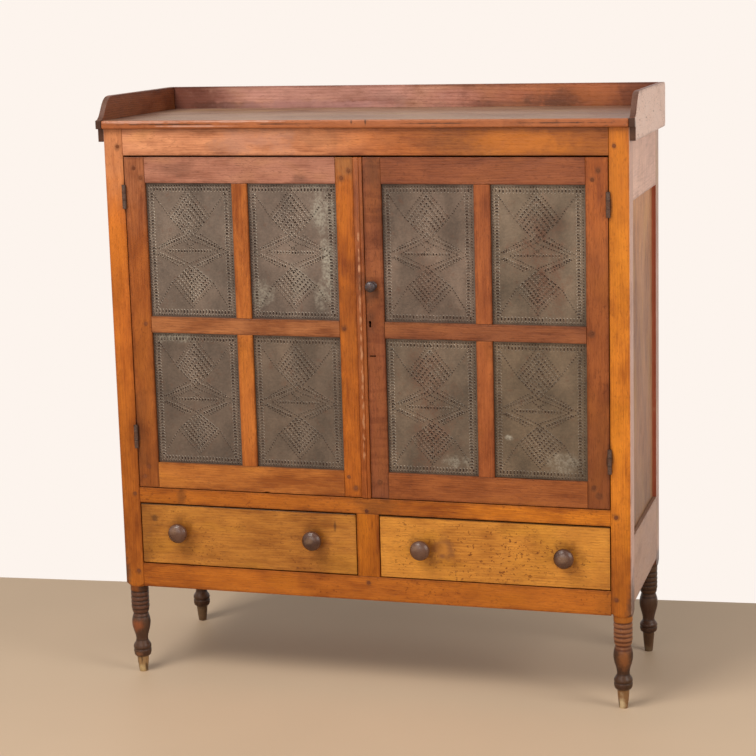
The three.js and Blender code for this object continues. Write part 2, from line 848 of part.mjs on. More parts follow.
function drawerBox(side) {
  const wallZs = [drawerBoxBottom, drawerBoxTop];
  const wallYs = [drawerFrontThickness + fit, drawerRear];
  const rear = drawerRear - drawerBackInset;
  const backXs = [side * (drawerInner + drawerWall / 2), side * (drawerOuter - drawerWall / 2)];
  const backZs = [drawerBottom, drawerBoxTop - drawerBackDrop];
  return joined(
    block([side * drawerInner, side * (drawerInner + drawerWall)], wallYs, wallZs),
    block([side * (drawerOuter - drawerWall), side * drawerOuter], wallYs, wallZs),
    block(backXs, [rear - drawerWall, rear], backZs),
    drawerBottomBoard(side, 0),
    ...dovetails(side, 0),
  );
}

function addDrawer(sideName, side, knobHeight) {
  const middle = side * (drawerInner + drawerOuter) / 2;
  const knobXs = [["outer", side * drawerKnobOffset], ["inner", -side * drawerKnobOffset]];
  const knobZ = drawerBottom + knobHeight;
  const xs = [side * drawerInner, side * drawerOuter];
  const front = block(xs, [0, drawerFrontThickness], [drawerBottom, drawerTop]);
  const holes = knobXs.map(([, offset]) =>
    shankHole(drawerKnobShank, middle + offset, knobZ, drawerFrontThickness));
  const sockets = [...dovetails(side, fit), drawerBottomBoard(side, fit)];
  place(`${sideName}_drawer_front`, cut(front, ...sockets, ...holes), drawerColor);
  place(`${sideName}_drawer_box`, drawerBox(side), innerColor);
  const knobSizes = [drawerKnobRadius, drawerKnobReach, drawerKnobShank];
  for (const [name, offset] of knobXs) {
    const turned = knob(drawerKnobShares, ...knobSizes, middle + offset, knobZ,
      drawerFrontThickness);
    place(`${sideName}_drawer_${name}_knob`, turned, knobColor);
  }
}

addPosts();
addFrontRails();
addDivider();
addSides();
addBoards();
addBack();
addTop();
for (const [sideName, side] of sides) {
  addDoor(sideName, side);
  for (const [level, height] of hingeHeights[sideName]) addHinge(sideName, side, level, height);
}
addDrawer("left", -1, leftKnobHeight);
addDrawer("right", 1, rightKnobHeight);

export default pieSafe;
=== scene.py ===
import math

import bmesh
import bpy
from mathutils import Matrix, Vector


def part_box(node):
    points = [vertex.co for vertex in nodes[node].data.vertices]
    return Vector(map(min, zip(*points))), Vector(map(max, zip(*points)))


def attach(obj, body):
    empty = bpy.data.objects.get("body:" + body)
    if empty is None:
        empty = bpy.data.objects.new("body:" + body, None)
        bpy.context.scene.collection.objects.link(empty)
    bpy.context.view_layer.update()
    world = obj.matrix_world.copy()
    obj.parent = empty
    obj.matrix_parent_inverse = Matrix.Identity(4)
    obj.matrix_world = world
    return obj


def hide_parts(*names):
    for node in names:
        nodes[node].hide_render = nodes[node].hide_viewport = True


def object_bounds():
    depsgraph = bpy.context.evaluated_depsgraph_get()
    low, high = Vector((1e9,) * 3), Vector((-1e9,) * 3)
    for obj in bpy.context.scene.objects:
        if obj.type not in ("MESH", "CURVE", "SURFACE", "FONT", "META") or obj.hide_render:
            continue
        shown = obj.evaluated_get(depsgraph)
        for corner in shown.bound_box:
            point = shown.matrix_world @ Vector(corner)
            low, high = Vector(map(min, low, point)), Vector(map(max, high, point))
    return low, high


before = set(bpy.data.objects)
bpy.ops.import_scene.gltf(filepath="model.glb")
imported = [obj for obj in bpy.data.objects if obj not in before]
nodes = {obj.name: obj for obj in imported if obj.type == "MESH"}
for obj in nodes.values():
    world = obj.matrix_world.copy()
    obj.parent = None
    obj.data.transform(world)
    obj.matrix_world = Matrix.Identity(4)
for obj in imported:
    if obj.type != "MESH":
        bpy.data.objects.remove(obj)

bl_info = {
    "name": "Pie safe",
    "version": (1, 0, 0),
    "blender": (4, 5, 0),
    "location": "View3D > Sidebar > Pie safe",
    "description": "Dresses the packed frame of a pie safe in worn wood, punched tin and iron",
    "category": "Object",
}

cad_low, cad_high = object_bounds()
front_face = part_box("front_top_rail")[0].y
leg_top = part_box("front_bottom_rail")[0].z
MM = 0.001

# How far a door's frame covers each edge of its tins, how far a mark on a face reaches into the
# wood, and a reach so long that a mark doesn't fade that way, all in metres
TIN_COVER = 0.0114
MARK_DEPTH = 0.05
FAR = 5

# What is left of red, green and blue in a dark ring, a bar of curl, a smudge, and an edge darkened
# by dirt and painted shade
RING_SHADE = (0.48, 0.36, 0.26)
CURL_SHADE = (0.62, 0.52, 0.44)
SMUDGE_SHADE = (0.4, 0.29, 0.23)
EDGE_SHADE = (0.32, 0.22, 0.17)
# What is left of red, green and blue in a tin beside its frame, darkened by dirt and painted shade
TIN_EDGE_SHADE = (0.45, 0.36, 0.32)

# At this scale the rings of a wave texture are a millimetre apart
RING_SCALE = 314


def middle_of(node):
    """The middle of a CAD node's box."""
    low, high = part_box(node)
    return (low + high) / 2


def at(x, z, depth=0.0):
    """A point of the front, from millimetres across, up, and in behind the front face."""
    return Vector((x * MM, front_face + depth * MM, z * MM))


def mark(x, z, wide, tall, colour, strength, face=front_face, depth=MARK_DEPTH):
    """A mark on a face that looks forward: its place and its reach in millimetres, its colour and
    strength, and in metres where the face is and how far the mark reaches into it."""
    return Vector((x * MM, face, z * MM)), (wide * MM, depth, tall * MM), colour, strength


# Sizes and colours that a user would change

def srgb(red, green, blue):
    """The linear values of a colour read from a screen as 0 to 255."""
    shares = [level / 255 for level in (red, green, blue)]
    return [s / 12.92 if s <= 0.04045 else ((s + 0.055) / 1.055) ** 2.4 for s in shares]


def tint(name, description, *levels):
    return bpy.props.FloatVectorProperty(
        name=name, description=description, subtype="COLOR", size=3, min=0, max=1,
        default=srgb(*levels))


def length(name, description, millimetres):
    return bpy.props.FloatProperty(
        name=name, description=description, default=millimetres * MM, min=0,
        subtype="DISTANCE", unit="LENGTH", precision=5)


def count(name, description, default, lowest=3):
    return bpy.props.IntProperty(name=name, description=description, default=default, min=lowest)


class PieSafeSizes(bpy.types.PropertyGroup):
    edge_wear: length("Edge wear", "How far the boards' edges are rubbed round", 1.2)
    top_edge_wear: length("Top edge wear", "Rounding of the top board's edges", 3.5)
    turning_sides: count("Turning sides", "Facets round the legs and knobs", 40)
    peg_width: length("Peg width", "Diameter of the pegs in the joints", 8.6)
    peg_proud: length("Peg height", "How far a peg stands out of the wood", 0.5)
    slit_length: length("Slit length", "Length of a slit punched in the tins", 9.0)
    border_slit_length: length("Border slit length", "Length of a slit in the border", 11.5)
    slit_width: length("Slit width", "Width of a slit punched in the tins", 4.8)
    dot_width: length("Dot width", "Diameter of a dot punched in the tins", 4.2)
    burr_height: length("Burr height", "How far a punched edge stands out", 1.2)
    row_pitch: length("Punch pitch", "Distance between the punches of a row", 7.5)
    border_pitch: length("Border pitch", "Distance between the punches along top and bottom", 8.4)
    dot_pitch: length("Dot pitch", "Distance between the dots of a line", 6.9)
    sheet_thickness: length("Sheet thickness", "Thickness of the tin sheets", 0.5)
    sheet_buckle: length("Sheet buckle", "How far the sheets bulge in and out", 1.6)
    hand_drift: length("Hand drift", "How far the punches stray from their lines", 3.0)
    back_boards: count("Back boards", "Number of upright boards in the back", 6, 1)


class PieSafeColours(bpy.types.PropertyGroup):
    left_post: tint("Left post", "Shellac on the left front post", 188, 102, 34)
    right_post: tint("Right post", "Shellac on the right front post", 206, 120, 32)
    top_rail: tint("Top rail", "Shellac on the rail under the top", 182, 104, 50)
    lower_rails: tint("Lower rails", "Shellac on the rails and divider", 180, 100, 28)
    # The top board's colour is its worn finish greyed by painted sheen; the front edge keeps the
    # finish's own colour
    top_board: tint("Top board", "Worn finish on the top board", 153, 118, 96)
    top_edge: tint("Top edge", "Front edge of the top board", 186, 106, 56)
    gallery: tint("Gallery", "Stained wood of the gallery's back", 160, 90, 56)
    gallery_end: tint("Gallery end", "Outside of the gallery's ends", 234, 200, 182)
    side_rail: tint("Side rail", "Dull old finish on the side rails", 218, 179, 161)
    side_panel: tint("Side panel", "Dull old finish on the side panels", 162, 122, 96)
    left_door: tint("Left door", "Shellac on the left door's frame", 184, 102, 52)
    left_door_top: tint("Left door top", "Shellac on the left door's top rail", 172, 104, 74)
    right_door: tint("Right door", "Darker shellac on the right door's frame", 152, 80, 48)
    left_drawer: tint("Left drawer", "Shellac on the left drawer front", 180, 116, 46)
    right_drawer: tint("Right drawer", "Shellac on the right drawer front", 197, 129, 50)
    leg: tint("Leg", "Dark finish on the turned legs", 78, 52, 38)
    foot: tint("Foot", "Bare wood of the foot tips", 158, 132, 96)
    knob: tint("Knob", "Handled wood of the drawer knobs", 92, 60, 45)
    peg: tint("Peg", "End grain of the pegs", 126, 70, 38)
    inside: tint("Inside", "Bare wood of the inside and back", 158, 120, 84)
    tin: tint("Tin", "Tarnished tinplate", 106, 92, 79)
    tin_light: tint("Bright tin", "Tinplate that is rubbed bright", 158, 152, 138)
    # The burr's bright colour is a painted highlight on the punched edges
    burr: tint("Burr", "Bright edges of the punched slits", 230, 218, 202)
    rust: tint("Rust", "Rust on the tins", 104, 64, 44)
    iron: tint("Iron", "Hinges and nails", 86, 66, 56)
    door_knob: tint("Door knob", "Cast knob of the right door", 66, 59, 62)
    dirt: tint("Dirt", "Old dirt in pores, gaps and punched slits", 44, 26, 16)
    floor: tint("Floor", "Plain floor under the part", 205, 180, 152)
    wall: tint("Wall", "Plain background", 253, 244, 237)


# Materials

class Paint:
    """The node tree of one material, with short calls that each add a node and give its result.
    A call takes numbers, colours or the results of other calls."""

    def __init__(self, name):
        self.material = bpy.data.materials.new(name)
        self.material.use_nodes = True
        self.nodes = self.material.node_tree.nodes
        self.links = self.material.node_tree.links
        self.shader = self.nodes["Principled BSDF"]
        self.place = self.add("TexCoord").outputs["Object"]

    def add(self, kind, **settings):
        node = self.nodes.new("ShaderNode" + kind)
        for setting, value in settings.items():
            setattr(node, setting, value)
        return node

    def feed(self, socket, value):
        if isinstance(value, bpy.types.NodeSocket):
            self.links.new(value, socket)
        elif socket.type == "RGBA":
            socket.default_value = (*value, 1)
        else:
            socket.default_value = value

    def maths(self, operation, *values):
        node = self.add("Math", operation=operation)
        for socket, value in zip(node.inputs, values):
            self.feed(socket, value)
        return node.outputs[0]

    def weighed(self, *terms):
        """The sum of values, each times its weight."""
        parts = [self.maths("MULTIPLY", value, weight) for value, weight in terms]
        total = parts[0]
        for part in parts[1:]:
            total = self.maths("ADD", total, part)
        return total

    def vector(self, operation, *values):
        node = self.add("VectorMath", operation=operation)
        for socket, value in zip(node.inputs, values):
            self.feed(socket, value)
        return node.outputs["Value" if operation == "LENGTH" else "Vector"]

    def apart(self, vector):
        """The three parts of a vector."""
        node = self.add("SeparateXYZ")
        self.feed(node.inputs[0], vector)
        return node.outputs

    def scaled(self, vector, scale, turn=(0, 0, 0), shift=(0, 0, 0)):
        """Places that are scaled, turned and shifted, so that a pattern on them is."""
        node = self.add("Mapping")
        self.feed(node.inputs["Vector"], vector)
        node.inputs["Location"].default_value = shift
        node.inputs["Rotation"].default_value = turn
        node.inputs["Scale"].default_value = scale
        return node.outputs[0]

    def noise(self, vector, scale=1.0, detail=2.0, coarse=0.5, output="Fac"):
        node = self.add("TexNoise")
        self.feed(node.inputs["Vector"], vector)
        node.inputs["Scale"].default_value = scale
        node.inputs["Detail"].default_value = detail
        node.inputs["Roughness"].default_value = coarse
        return node.outputs[output]

    def spread(self, value, low, high, start=0.0, end=1.0):
        """The start where a value is low and the end where it is high, and smooth between."""
        node = self.add("MapRange", interpolation_type="SMOOTHSTEP")
        for socket, given in zip(node.inputs, (value, low, high, start, end)):
            self.feed(socket, given)
        return node.outputs[0]

    def mix(self, share, first, second, kind="MIX"):
        """The first colour with that share of the second laid or multiplied over it."""
        node = self.add("Mix", data_type="RGBA", blend_type=kind)
        for index, value in ((0, share), (6, first), (7, second)):
            self.feed(node.inputs[index], value)
        return node.outputs[2]

    def ramp(self, value, *stops):
        """A colour that runs through stops, each a value and its colour."""
        node = self.add("ValToRGB")
        self.feed(node.inputs[0], value)
        stretch = node.color_ramp.elements
        while len(stretch) < len(stops):
            stretch.new(0.5)
        for element, (position, colour) in zip(stretch, stops):
            element.position = position
            element.color = (*colour, 1)
        return node.outputs["Color"]

    def patch(self, centre, reach, ragged):
        """1 at the middle of a ragged oval round a point, falling to 0 at its reach."""
        scale = [1 / r for r in reach]
        shift = [-c * s for c, s in zip(centre, scale)]
        away = self.vector("LENGTH", self.scaled(self.place, scale, shift=shift))
        return self.spread(self.maths("ADD", away, ragged), 1.2, 0.3)

    def finish(self, colour, roughness, height, depth, metallic=0.0, shine=0.5):
        """The finished material, its surface raised by that depth in metres where height is 1."""
        self.feed(self.shader.inputs["Base Color"], colour)
        self.feed(self.shader.inputs["Roughness"], roughness)
        self.shader.inputs["Metallic"].default_value = metallic
        self.shader.inputs["Specular IOR Level"].default_value = shine
        bump = self.add("Bump")
        bump.inputs["Distance"].default_value = depth
        bump.inputs["Strength"].default_value = 1
        self.feed(bump.inputs["Height"], height)
        self.feed(self.shader.inputs["Normal"], bump.outputs[0])
        return self.material


def times(colour, *shares):
    """A colour with its channels multiplied, kept within 0 and 1."""
    shares = shares * 3 if len(shares) == 1 else shares
    return [min(1.0, c * s) for c, s in zip(colour, shares)]


def toned(colours, name, shares):
    """One of the named colours with its channels multiplied."""
    return times(getattr(colours, name), *shares)


def wood(name, colour, grain, seed, box=None, figure=0.13, rings=5.5, smudge=0.4, flecks=0.3,
         specks=0.0, swarms=(), curl=0.0, amber=0.45, clouding=1.0, edge=0.45, gloss=0.42,
         shine=0.24, fades=(), bands=(), marks=()):
    """Worn, shellacked wood: rings that many millimetres apart, mottling, amber patches and pores
    along the grain, flecks, insect holes and their swarms, smudges, dirt and painted shade towards
    the board's edges, slow fades and ragged bands along an axis, and marks at places. A seed moves
    the whole pattern, so that no two boards are alike."""
    paint = Paint(name)
    dirt = bpy.context.scene.pie_safe_colours.dirt
    low, high = box or (cad_low, cad_high)
    middle = (Vector(low) + Vector(high)) / 2
    axis = "XYZ".index(grain)
    across = [i for i in range(3) if i != axis]
    shift = (seed * 3.71, seed * 1.93, seed * 2.57)
    local = paint.vector("SUBTRACT", paint.place, tuple(middle))

    def along(run, cross):
        return [run if i == axis else cross for i in range(3)]

    def grainy(run, cross, detail=2.0, coarse=0.5):
        """Noise with that many waves to a metre, first along the grain and then across it."""
        return paint.noise(paint.scaled(local, along(run, cross), shift=shift), 1, detail, coarse)

    wander = paint.noise(paint.scaled(local, along(1.6, 7.0), shift=shift), detail=1.5,
                         output="Color")
    wander = paint.vector("MULTIPLY", paint.vector("SUBTRACT", wander, (0.5, 0.5, 0.5)),
                          along(0.0, 0.03))
    # The rings run round a heart that lies beside the board and a little askew to it
    heart = [0.0, 0.0, 0.0]
    heart[across[0]] = 0.018 * math.sin(seed * 2.3)
    heart[across[1]] = 0.045 + 0.02 * math.cos(seed * 1.7)
    tilt = [0.0, 0.0, 0.0]
    tilt[across[0]] = 0.03 * math.sin(seed * 5.1)
    tilt[across[1]] = 0.02 * math.cos(seed * 3.3)
    wave = paint.add("TexWave", wave_type="RINGS", rings_direction=grain, wave_profile="SIN")
    paint.feed(wave.inputs["Vector"],
               paint.scaled(paint.vector("ADD", local, wander), (1, 1, 1), tilt, heart))
    wave.inputs["Scale"].default_value = RING_SCALE / rings
    ring = paint.spread(wave.outputs["Fac"], 0.45, 1.0)

    broad = grainy(3, 8)
    mottle = grainy(12, 34, 3, 0.6)
    fibre = grainy(14, 420, 3)
    tone = paint.weighed((broad, 0.4), (mottle, 0.35), (fibre, 0.25))
    span = 0.13 / clouding
    shade = paint.ramp(tone, (0.5 - span, times(colour, 0.55, 0.44, 0.36)), (0.5, colour),
                       (0.5 + span, times(colour, 1.3, 1.4, 1.4)))
    if amber:
        glow = paint.spread(grainy(5, 13, 2), 0.52, 0.7, 0, amber)
        shade = paint.mix(glow, shade, times(colour, 1.12, 1.25, 0.8))
    shade = paint.mix(paint.maths("MULTIPLY", ring, figure), shade, RING_SHADE, "MULTIPLY")
    if curl:
        bars = paint.spread(grainy(70, 9, 1), 0.45, 0.62, 0, curl)
        shade = paint.mix(bars, shade, CURL_SHADE, "MULTIPLY")
    ragged = paint.noise(paint.scaled(local, (26, 26, 26), shift=shift), detail=4, coarse=0.62)
    ragged = paint.maths("SUBTRACT", ragged, 0.5)
    place = paint.apart(paint.place)
    for fade_axis, start, end, *shares in fades:
        reached = paint.weighed((place[fade_axis], 1), (ragged, 0.15))
        shade = paint.mix(paint.spread(reached, start, end), shade, shares, "MULTIPLY")
    for band_axis, start, end, drift, band_colour, strength in bands:
        reached = paint.weighed((place[band_axis], 1), (ragged, drift))
        banded = paint.mix(strength, shade, band_colour)
        shade = paint.mix(paint.spread(reached, start, end), shade, banded)
    cloud = paint.noise(paint.scaled(local, along(7, 11), shift=shift), 1, 5, 0.62)
    shade = paint.mix(paint.spread(cloud, 0.53, 0.72, 0, smudge), shade, SMUDGE_SHADE,
                      "MULTIPLY")
    if flecks:
        bits = paint.maths("MULTIPLY", paint.spread(grainy(75, 260, 1.5), 0.6, 0.7),
                           paint.spread(mottle, 0.42, 0.6, 0.15, 1))
        shade = paint.mix(paint.maths("MULTIPLY", bits, flecks), shade,
                          times(colour, 0.34, 0.26, 0.26))
    if specks or swarms:
        swarm = paint.spread(paint.noise(paint.scaled(local, (9, 9, 9), shift=shift)), 0.47, 0.64,
                             0, specks)
        for centre, reach, strength in swarms:
            gathered = paint.maths("MULTIPLY", paint.patch(centre, reach, ragged), strength)
            swarm = paint.maths("MAXIMUM", swarm, gathered)
        holes = paint.spread(grainy(125, 165, 2.5, 0.6), 0.595, 0.66)
        shade = paint.mix(paint.maths("MULTIPLY", holes, swarm), shade,
                          times(colour, 0.32, 0.22, 0.2))
    pores = paint.spread(grainy(55, 1100, 1), 0.63, 0.74, 0, 0.35)
    shade = paint.mix(pores, shade, dirt)
    frayed = paint.maths("MULTIPLY", ragged, 2.2)
    for centre, reach, mark_colour, strength in marks:
        share = paint.maths("MULTIPLY", paint.patch(centre, reach, frayed), strength)
        shade = paint.mix(share, shade, mark_colour)
    # Dirt and painted shade darken the wood towards its edges, where it meets other parts
    if box and edge:
        spans = sorted(range(3), key=lambda i: high[i] - low[i])[1:]
        inward = paint.apart(paint.vector("SUBTRACT", tuple((Vector(high) - Vector(low)) / 2),
                                          paint.vector("ABSOLUTE", local)))
        near = paint.maths("MINIMUM", *[inward[i] for i in spans])
        near = paint.weighed((near, 1), (ragged, 0.016))
        shade = paint.mix(paint.spread(near, 0.008, -0.001, 0, edge), shade, EDGE_SHADE,
                          "MULTIPLY")
    roughness = paint.maths("ADD", paint.weighed((mottle, 0.2), (cloud, 0.12)), gloss - 0.16)
    height = paint.weighed((fibre, 0.35), (ring, -0.12), (pores, -1.4), (mottle, 2.0))
    return paint.finish(shade, roughness, height, 0.0005, shine=shine)


def tinplate(name, colour, colours, seed=0, box=None, marks=()):
    """Tarnished tinplate: softly clouded, scratched, darker beside its frame with dirt and painted
    shade, with rust and bright rubs at their places."""
    paint = Paint(name)
    shift = (seed * 1.7, seed * 2.3, seed * 0.9)
    cloud = paint.noise(paint.scaled(paint.place, (13, 13, 8), shift=shift), 1, 4, 0.55)
    fine = paint.noise(paint.place, 190, 4, 0.65)
    scratch = paint.noise(paint.scaled(paint.place, (60, 60, 900), turn=(0, 0.5, 0)), 1, 2)
    tone = paint.weighed((cloud, 0.55), (fine, 0.3), (scratch, 0.15))
    shade = paint.ramp(tone, (0.36, times(colour, 0.6)), (0.5, colour), (0.66, times(colour, 1.5)))
    bloom = paint.noise(paint.scaled(paint.place, (34, 34, 22), shift=shift), 1, 6, 0.7)
    ragged = paint.maths("MULTIPLY", paint.maths("SUBTRACT", bloom, 0.5), 3.2)
    rusty = paint.spread(paint.noise(paint.place, 55, 6, 0.75), 0.55, 0.68, 0, 0.35)
    shade = paint.mix(rusty, shade, times(colours.rust, 0.9))
    cloudy = paint.spread(fine, 0.38, 0.6, 0.25, 1)
    for centre, reach, mark_colour, strength in marks:
        share = paint.maths("MULTIPLY", paint.patch(centre, reach, ragged), strength)
        shade = paint.mix(paint.maths("MULTIPLY", share, cloudy), shade, mark_colour)
    # Dirt and painted shade darken the sheet beside the frame that covers its edges
    if box:
        low, high = box
        middle = (low + high) / 2
        half = (high - low) / 2 - Vector((TIN_COVER, 0, TIN_COVER))
        inward = paint.apart(paint.vector("SUBTRACT", tuple(half), paint.vector(
            "ABSOLUTE", paint.vector("SUBTRACT", paint.place, tuple(middle)))))
        near = paint.maths("MINIMUM", inward[0], inward[2])
        near = paint.weighed((near, 1), (ragged, 0.004))
        shade = paint.mix(paint.spread(near, 0.008, 0.0005, 0, 0.6), shade, TIN_EDGE_SHADE,
                          "MULTIPLY")
    roughness = paint.spread(cloud, 0.3, 0.7, 0.6, 0.44)
    height = paint.weighed((fine, 0.6), (cloud, 3.0), (scratch, 0.3))
    return paint.finish(shade, roughness, height, 0.0004, 0.35)


def iron(name, colour, colours, gloss):
    """Dark iron with rust in its pits, rubbed smoother where it is handled."""
    paint = Paint(name)
    pits = paint.noise(paint.place, 420, 4, 0.65)
    cloud = paint.noise(paint.place, 60, 3)
    shade = paint.ramp(pits, (0.35, times(colour, 0.45)), (0.5, colour), (0.68, times(colour, 1.7)))
    shade = paint.mix(paint.maths("MULTIPLY", paint.spread(cloud, 0.48, 0.66), 0.55), shade,
                      times(colours.rust, 0.7))
    roughness = paint.spread(cloud, 0.3, 0.7, gloss, gloss + 0.2)
    return paint.finish(shade, roughness, pits, 0.0004, 0.35)


def dark_gap(name, colour):
    """Old dirt that fills a gap; in a punched slit it is dirt and painted shade for the hole."""
    paint = Paint(name)
    crumbs = paint.noise(paint.place, 700, 3, 0.6)
    shade = paint.ramp(crumbs, (0.3, times(colour, 0.4)), (0.7, times(colour, 1.3)))
    return paint.finish(shade, 0.9, crumbs, 0.0003)


# Modelling helpers

# Edges that meet at more than the sharp angle are worn round, and faces that meet at less than
# the flat one are merged; the distances are in metres
SHARP_ANGLE = math.radians(40)
FLAT_ANGLE = math.radians(1)
MERGE_DISTANCE = 0.00002
REAR_TOLERANCE = 0.0001
SHORTEST_ACROSS = 0.005


def choose(*pieces):
    """Selects these pieces alone; the first one is active."""
    bpy.ops.object.select_all(action="DESELECT")
    for piece in pieces:
        piece.select_set(True)
    bpy.context.view_layer.objects.active = pieces[0]


def copied(source, name):
    """A new object with its own copy of a mesh."""
    piece = bpy.data.objects.new(name, source.data.copy())
    bpy.context.scene.collection.objects.link(piece)
    return piece


def settle(piece):
    """Puts a piece's place, turn and scale into its mesh."""
    choose(piece)
    bpy.ops.object.transform_apply(location=True, rotation=True, scale=True)
    return piece


def joined(name, *pieces):
    """One piece made of several, each with its place in its mesh."""
    for piece in pieces:
        settle(piece)
    choose(*pieces)
    if len(pieces) > 1:
        bpy.ops.object.join()
    pieces[0].name = name
    return pieces[0]


def coated(piece, *materials):
    """Gives a piece these materials in place of its own."""
    piece.data.materials.clear()
    for material in materials:
        piece.data.materials.append(material)
    return piece


def dress(piece, body, slot, *replaced):
    """Gives a finished piece its body and hides the nodes that it stands for; its slot is not used.
    """
    settle(piece)
    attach(piece, body)
    if replaced:
        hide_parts(*replaced)
    return piece


def smoothed(piece, degrees):
    """Shades a piece smooth where its faces meet at less than an angle."""
    choose(piece)
    bpy.ops.object.shade_smooth_by_angle(angle=math.radians(degrees))
    return piece


def select_edges(piece, test):
    """Selects only the edges that pass a test, on a piece in edit mode."""
    bpy.ops.mesh.select_mode(type="EDGE")
    bpy.ops.mesh.select_all(action="DESELECT")
    mesh = bmesh.from_edit_mesh(piece.data)
    for edge in mesh.edges:
        edge.select_set(test(edge))
    bmesh.update_edit_mesh(piece.data)


def soften(piece, width, shortest=0.004):
    """Rounds the long sharp outer edges of a piece, as hands and years do."""
    def sharp(edge):
        outer = len(edge.link_faces) == 2 and edge.is_convex
        return outer and edge.calc_length() > shortest and edge.calc_face_angle() > SHARP_ANGLE

    choose(piece)
    bpy.ops.object.mode_set(mode="EDIT")
    select_edges(piece, sharp)
    bpy.ops.mesh.bevel(offset=width, segments=2, affect="EDGES", clamp_overlap=False)
    bpy.ops.object.mode_set(mode="OBJECT")
    return piece


def worn_copy(node, width=None, shortest=0.004, rear_corners=0.0):
    """A copy of a CAD node, merged to whole faces, with its edges worn round, and the corners at
    its rear more so where a size is given for them."""
    piece = copied(nodes[node], node + "_worn")
    choose(piece)
    bpy.ops.object.mode_set(mode="EDIT")
    bpy.ops.mesh.select_all(action="SELECT")
    bpy.ops.mesh.remove_doubles(threshold=MERGE_DISTANCE)
    bpy.ops.mesh.dissolve_limited(angle_limit=FLAT_ANGLE)
    if rear_corners:
        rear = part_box(node)[1].y - REAR_TOLERANCE

        def across_the_rear(edge):
            start, end = (corner.co for corner in edge.verts)
            return min(start.y, end.y) > rear and abs(start.x - end.x) > SHORTEST_ACROSS

        select_edges(piece, across_the_rear)
        bpy.ops.mesh.bevel(offset=rear_corners, segments=5, affect="EDGES")
    bpy.ops.object.mode_set(mode="OBJECT")
    return soften(piece, width or bpy.context.scene.pie_safe_sizes.edge_wear, shortest)


def worn_board(low, high, width, name="board"):
    """A plank between two corners, with its edges worn round."""
    bpy.ops.object.select_all(action="DESELECT")
    bpy.ops.mesh.primitive_cube_add(size=1, location=(Vector(low) + Vector(high)) / 2)
    piece = bpy.context.object
    piece.name = name
    piece.scale = Vector(high) - Vector(low)
    return soften(settle(piece), width)


def raised_rings(name, sides, rings):
    """A disc drawn up ring by ring, and closed. Each ring is its half widths across and along,
    and its height, in metres."""
    (wide, long, height), *above = rings
    bpy.ops.object.select_all(action="DESELECT")
    bpy.ops.mesh.primitive_circle_add(vertices=sides, radius=1, fill_type="NGON",
                                      location=(0, 0, height))
    piece = bpy.context.object
    piece.name = name
    piece.scale = (wide, long, 1)
    settle(piece)
    bpy.ops.object.mode_set(mode="EDIT")
    bpy.ops.mesh.select_all(action="SELECT")
    for next_wide, next_long, next_height in above:
        bpy.ops.mesh.extrude_region_move(
            TRANSFORM_OT_translate={"value": (0, 0, next_height - height)})
        bpy.ops.transform.resize(value=(next_wide / wide, next_long / long, 1),
                                 center_override=(0, 0, next_height))
        wide, long, height = next_wide, next_long, next_height
    bpy.ops.mesh.select_all(action="SELECT")
    bpy.ops.mesh.normals_make_consistent(inside=False)
    bpy.ops.object.mode_set(mode="OBJECT")
    return piece


def turned(name, profile, sides, smooth=40):
    """A turning that stands on the origin. The profile is radius and height in millimetres."""
    piece = raised_rings(name, sides, [(radius * MM, radius * MM, height * MM)
                                       for radius, height in profile])
    if smooth:
        smoothed(piece, smooth)
    return piece


def faced_forward(piece, place, turn=0.0):
    """Turns a piece that points up so that it points forward, and puts it at a place."""
    piece.rotation_euler = (math.pi / 2, turn, 0)
    piece.location = place
    return settle(piece)


def warped(piece, name, strength, scale, direction="NORMAL"):
    """Moves a piece's surface to and fro by clouds that lie still in space."""
    clouds = bpy.data.textures.new(name, "CLOUDS")
    clouds.noise_scale = scale
    bend = piece.modifiers.new(name, "DISPLACE")
    bend.texture = clouds
    bend.texture_coords = "GLOBAL"
    bend.direction = direction
    bend.strength = strength
    choose(piece)
    bpy.ops.object.modifier_apply(modifier=bend.name)
    return piece


def carved(piece, tool, operation):
    """Cuts a piece with another, which is then removed."""
    cut = piece.modifiers.new("cut", "BOOLEAN")
    cut.object = tool
    cut.operation = operation
    cut.solver = "EXACT"
    choose(piece)
    bpy.ops.object.modifier_apply(modifier=cut.name)
    bpy.data.objects.remove(tool)
    return piece


def chipped(piece, centre, reach):
    """Breaks a lumpy bite out of a piece. Its reach is in millimetres."""
    bpy.ops.object.select_all(action="DESELECT")
    bpy.ops.mesh.primitive_ico_sphere_add(subdivisions=3, radius=1, location=centre)
    bite = bpy.context.object
    bite.scale = [r * MM for r in reach]
    settle(bite)
    return carved(piece, warped(bite, "bite_lumps", 0.003, 0.008), "DIFFERENCE")


# Turned profiles: radius and height in millimetres, the shoulder's above its post's foot

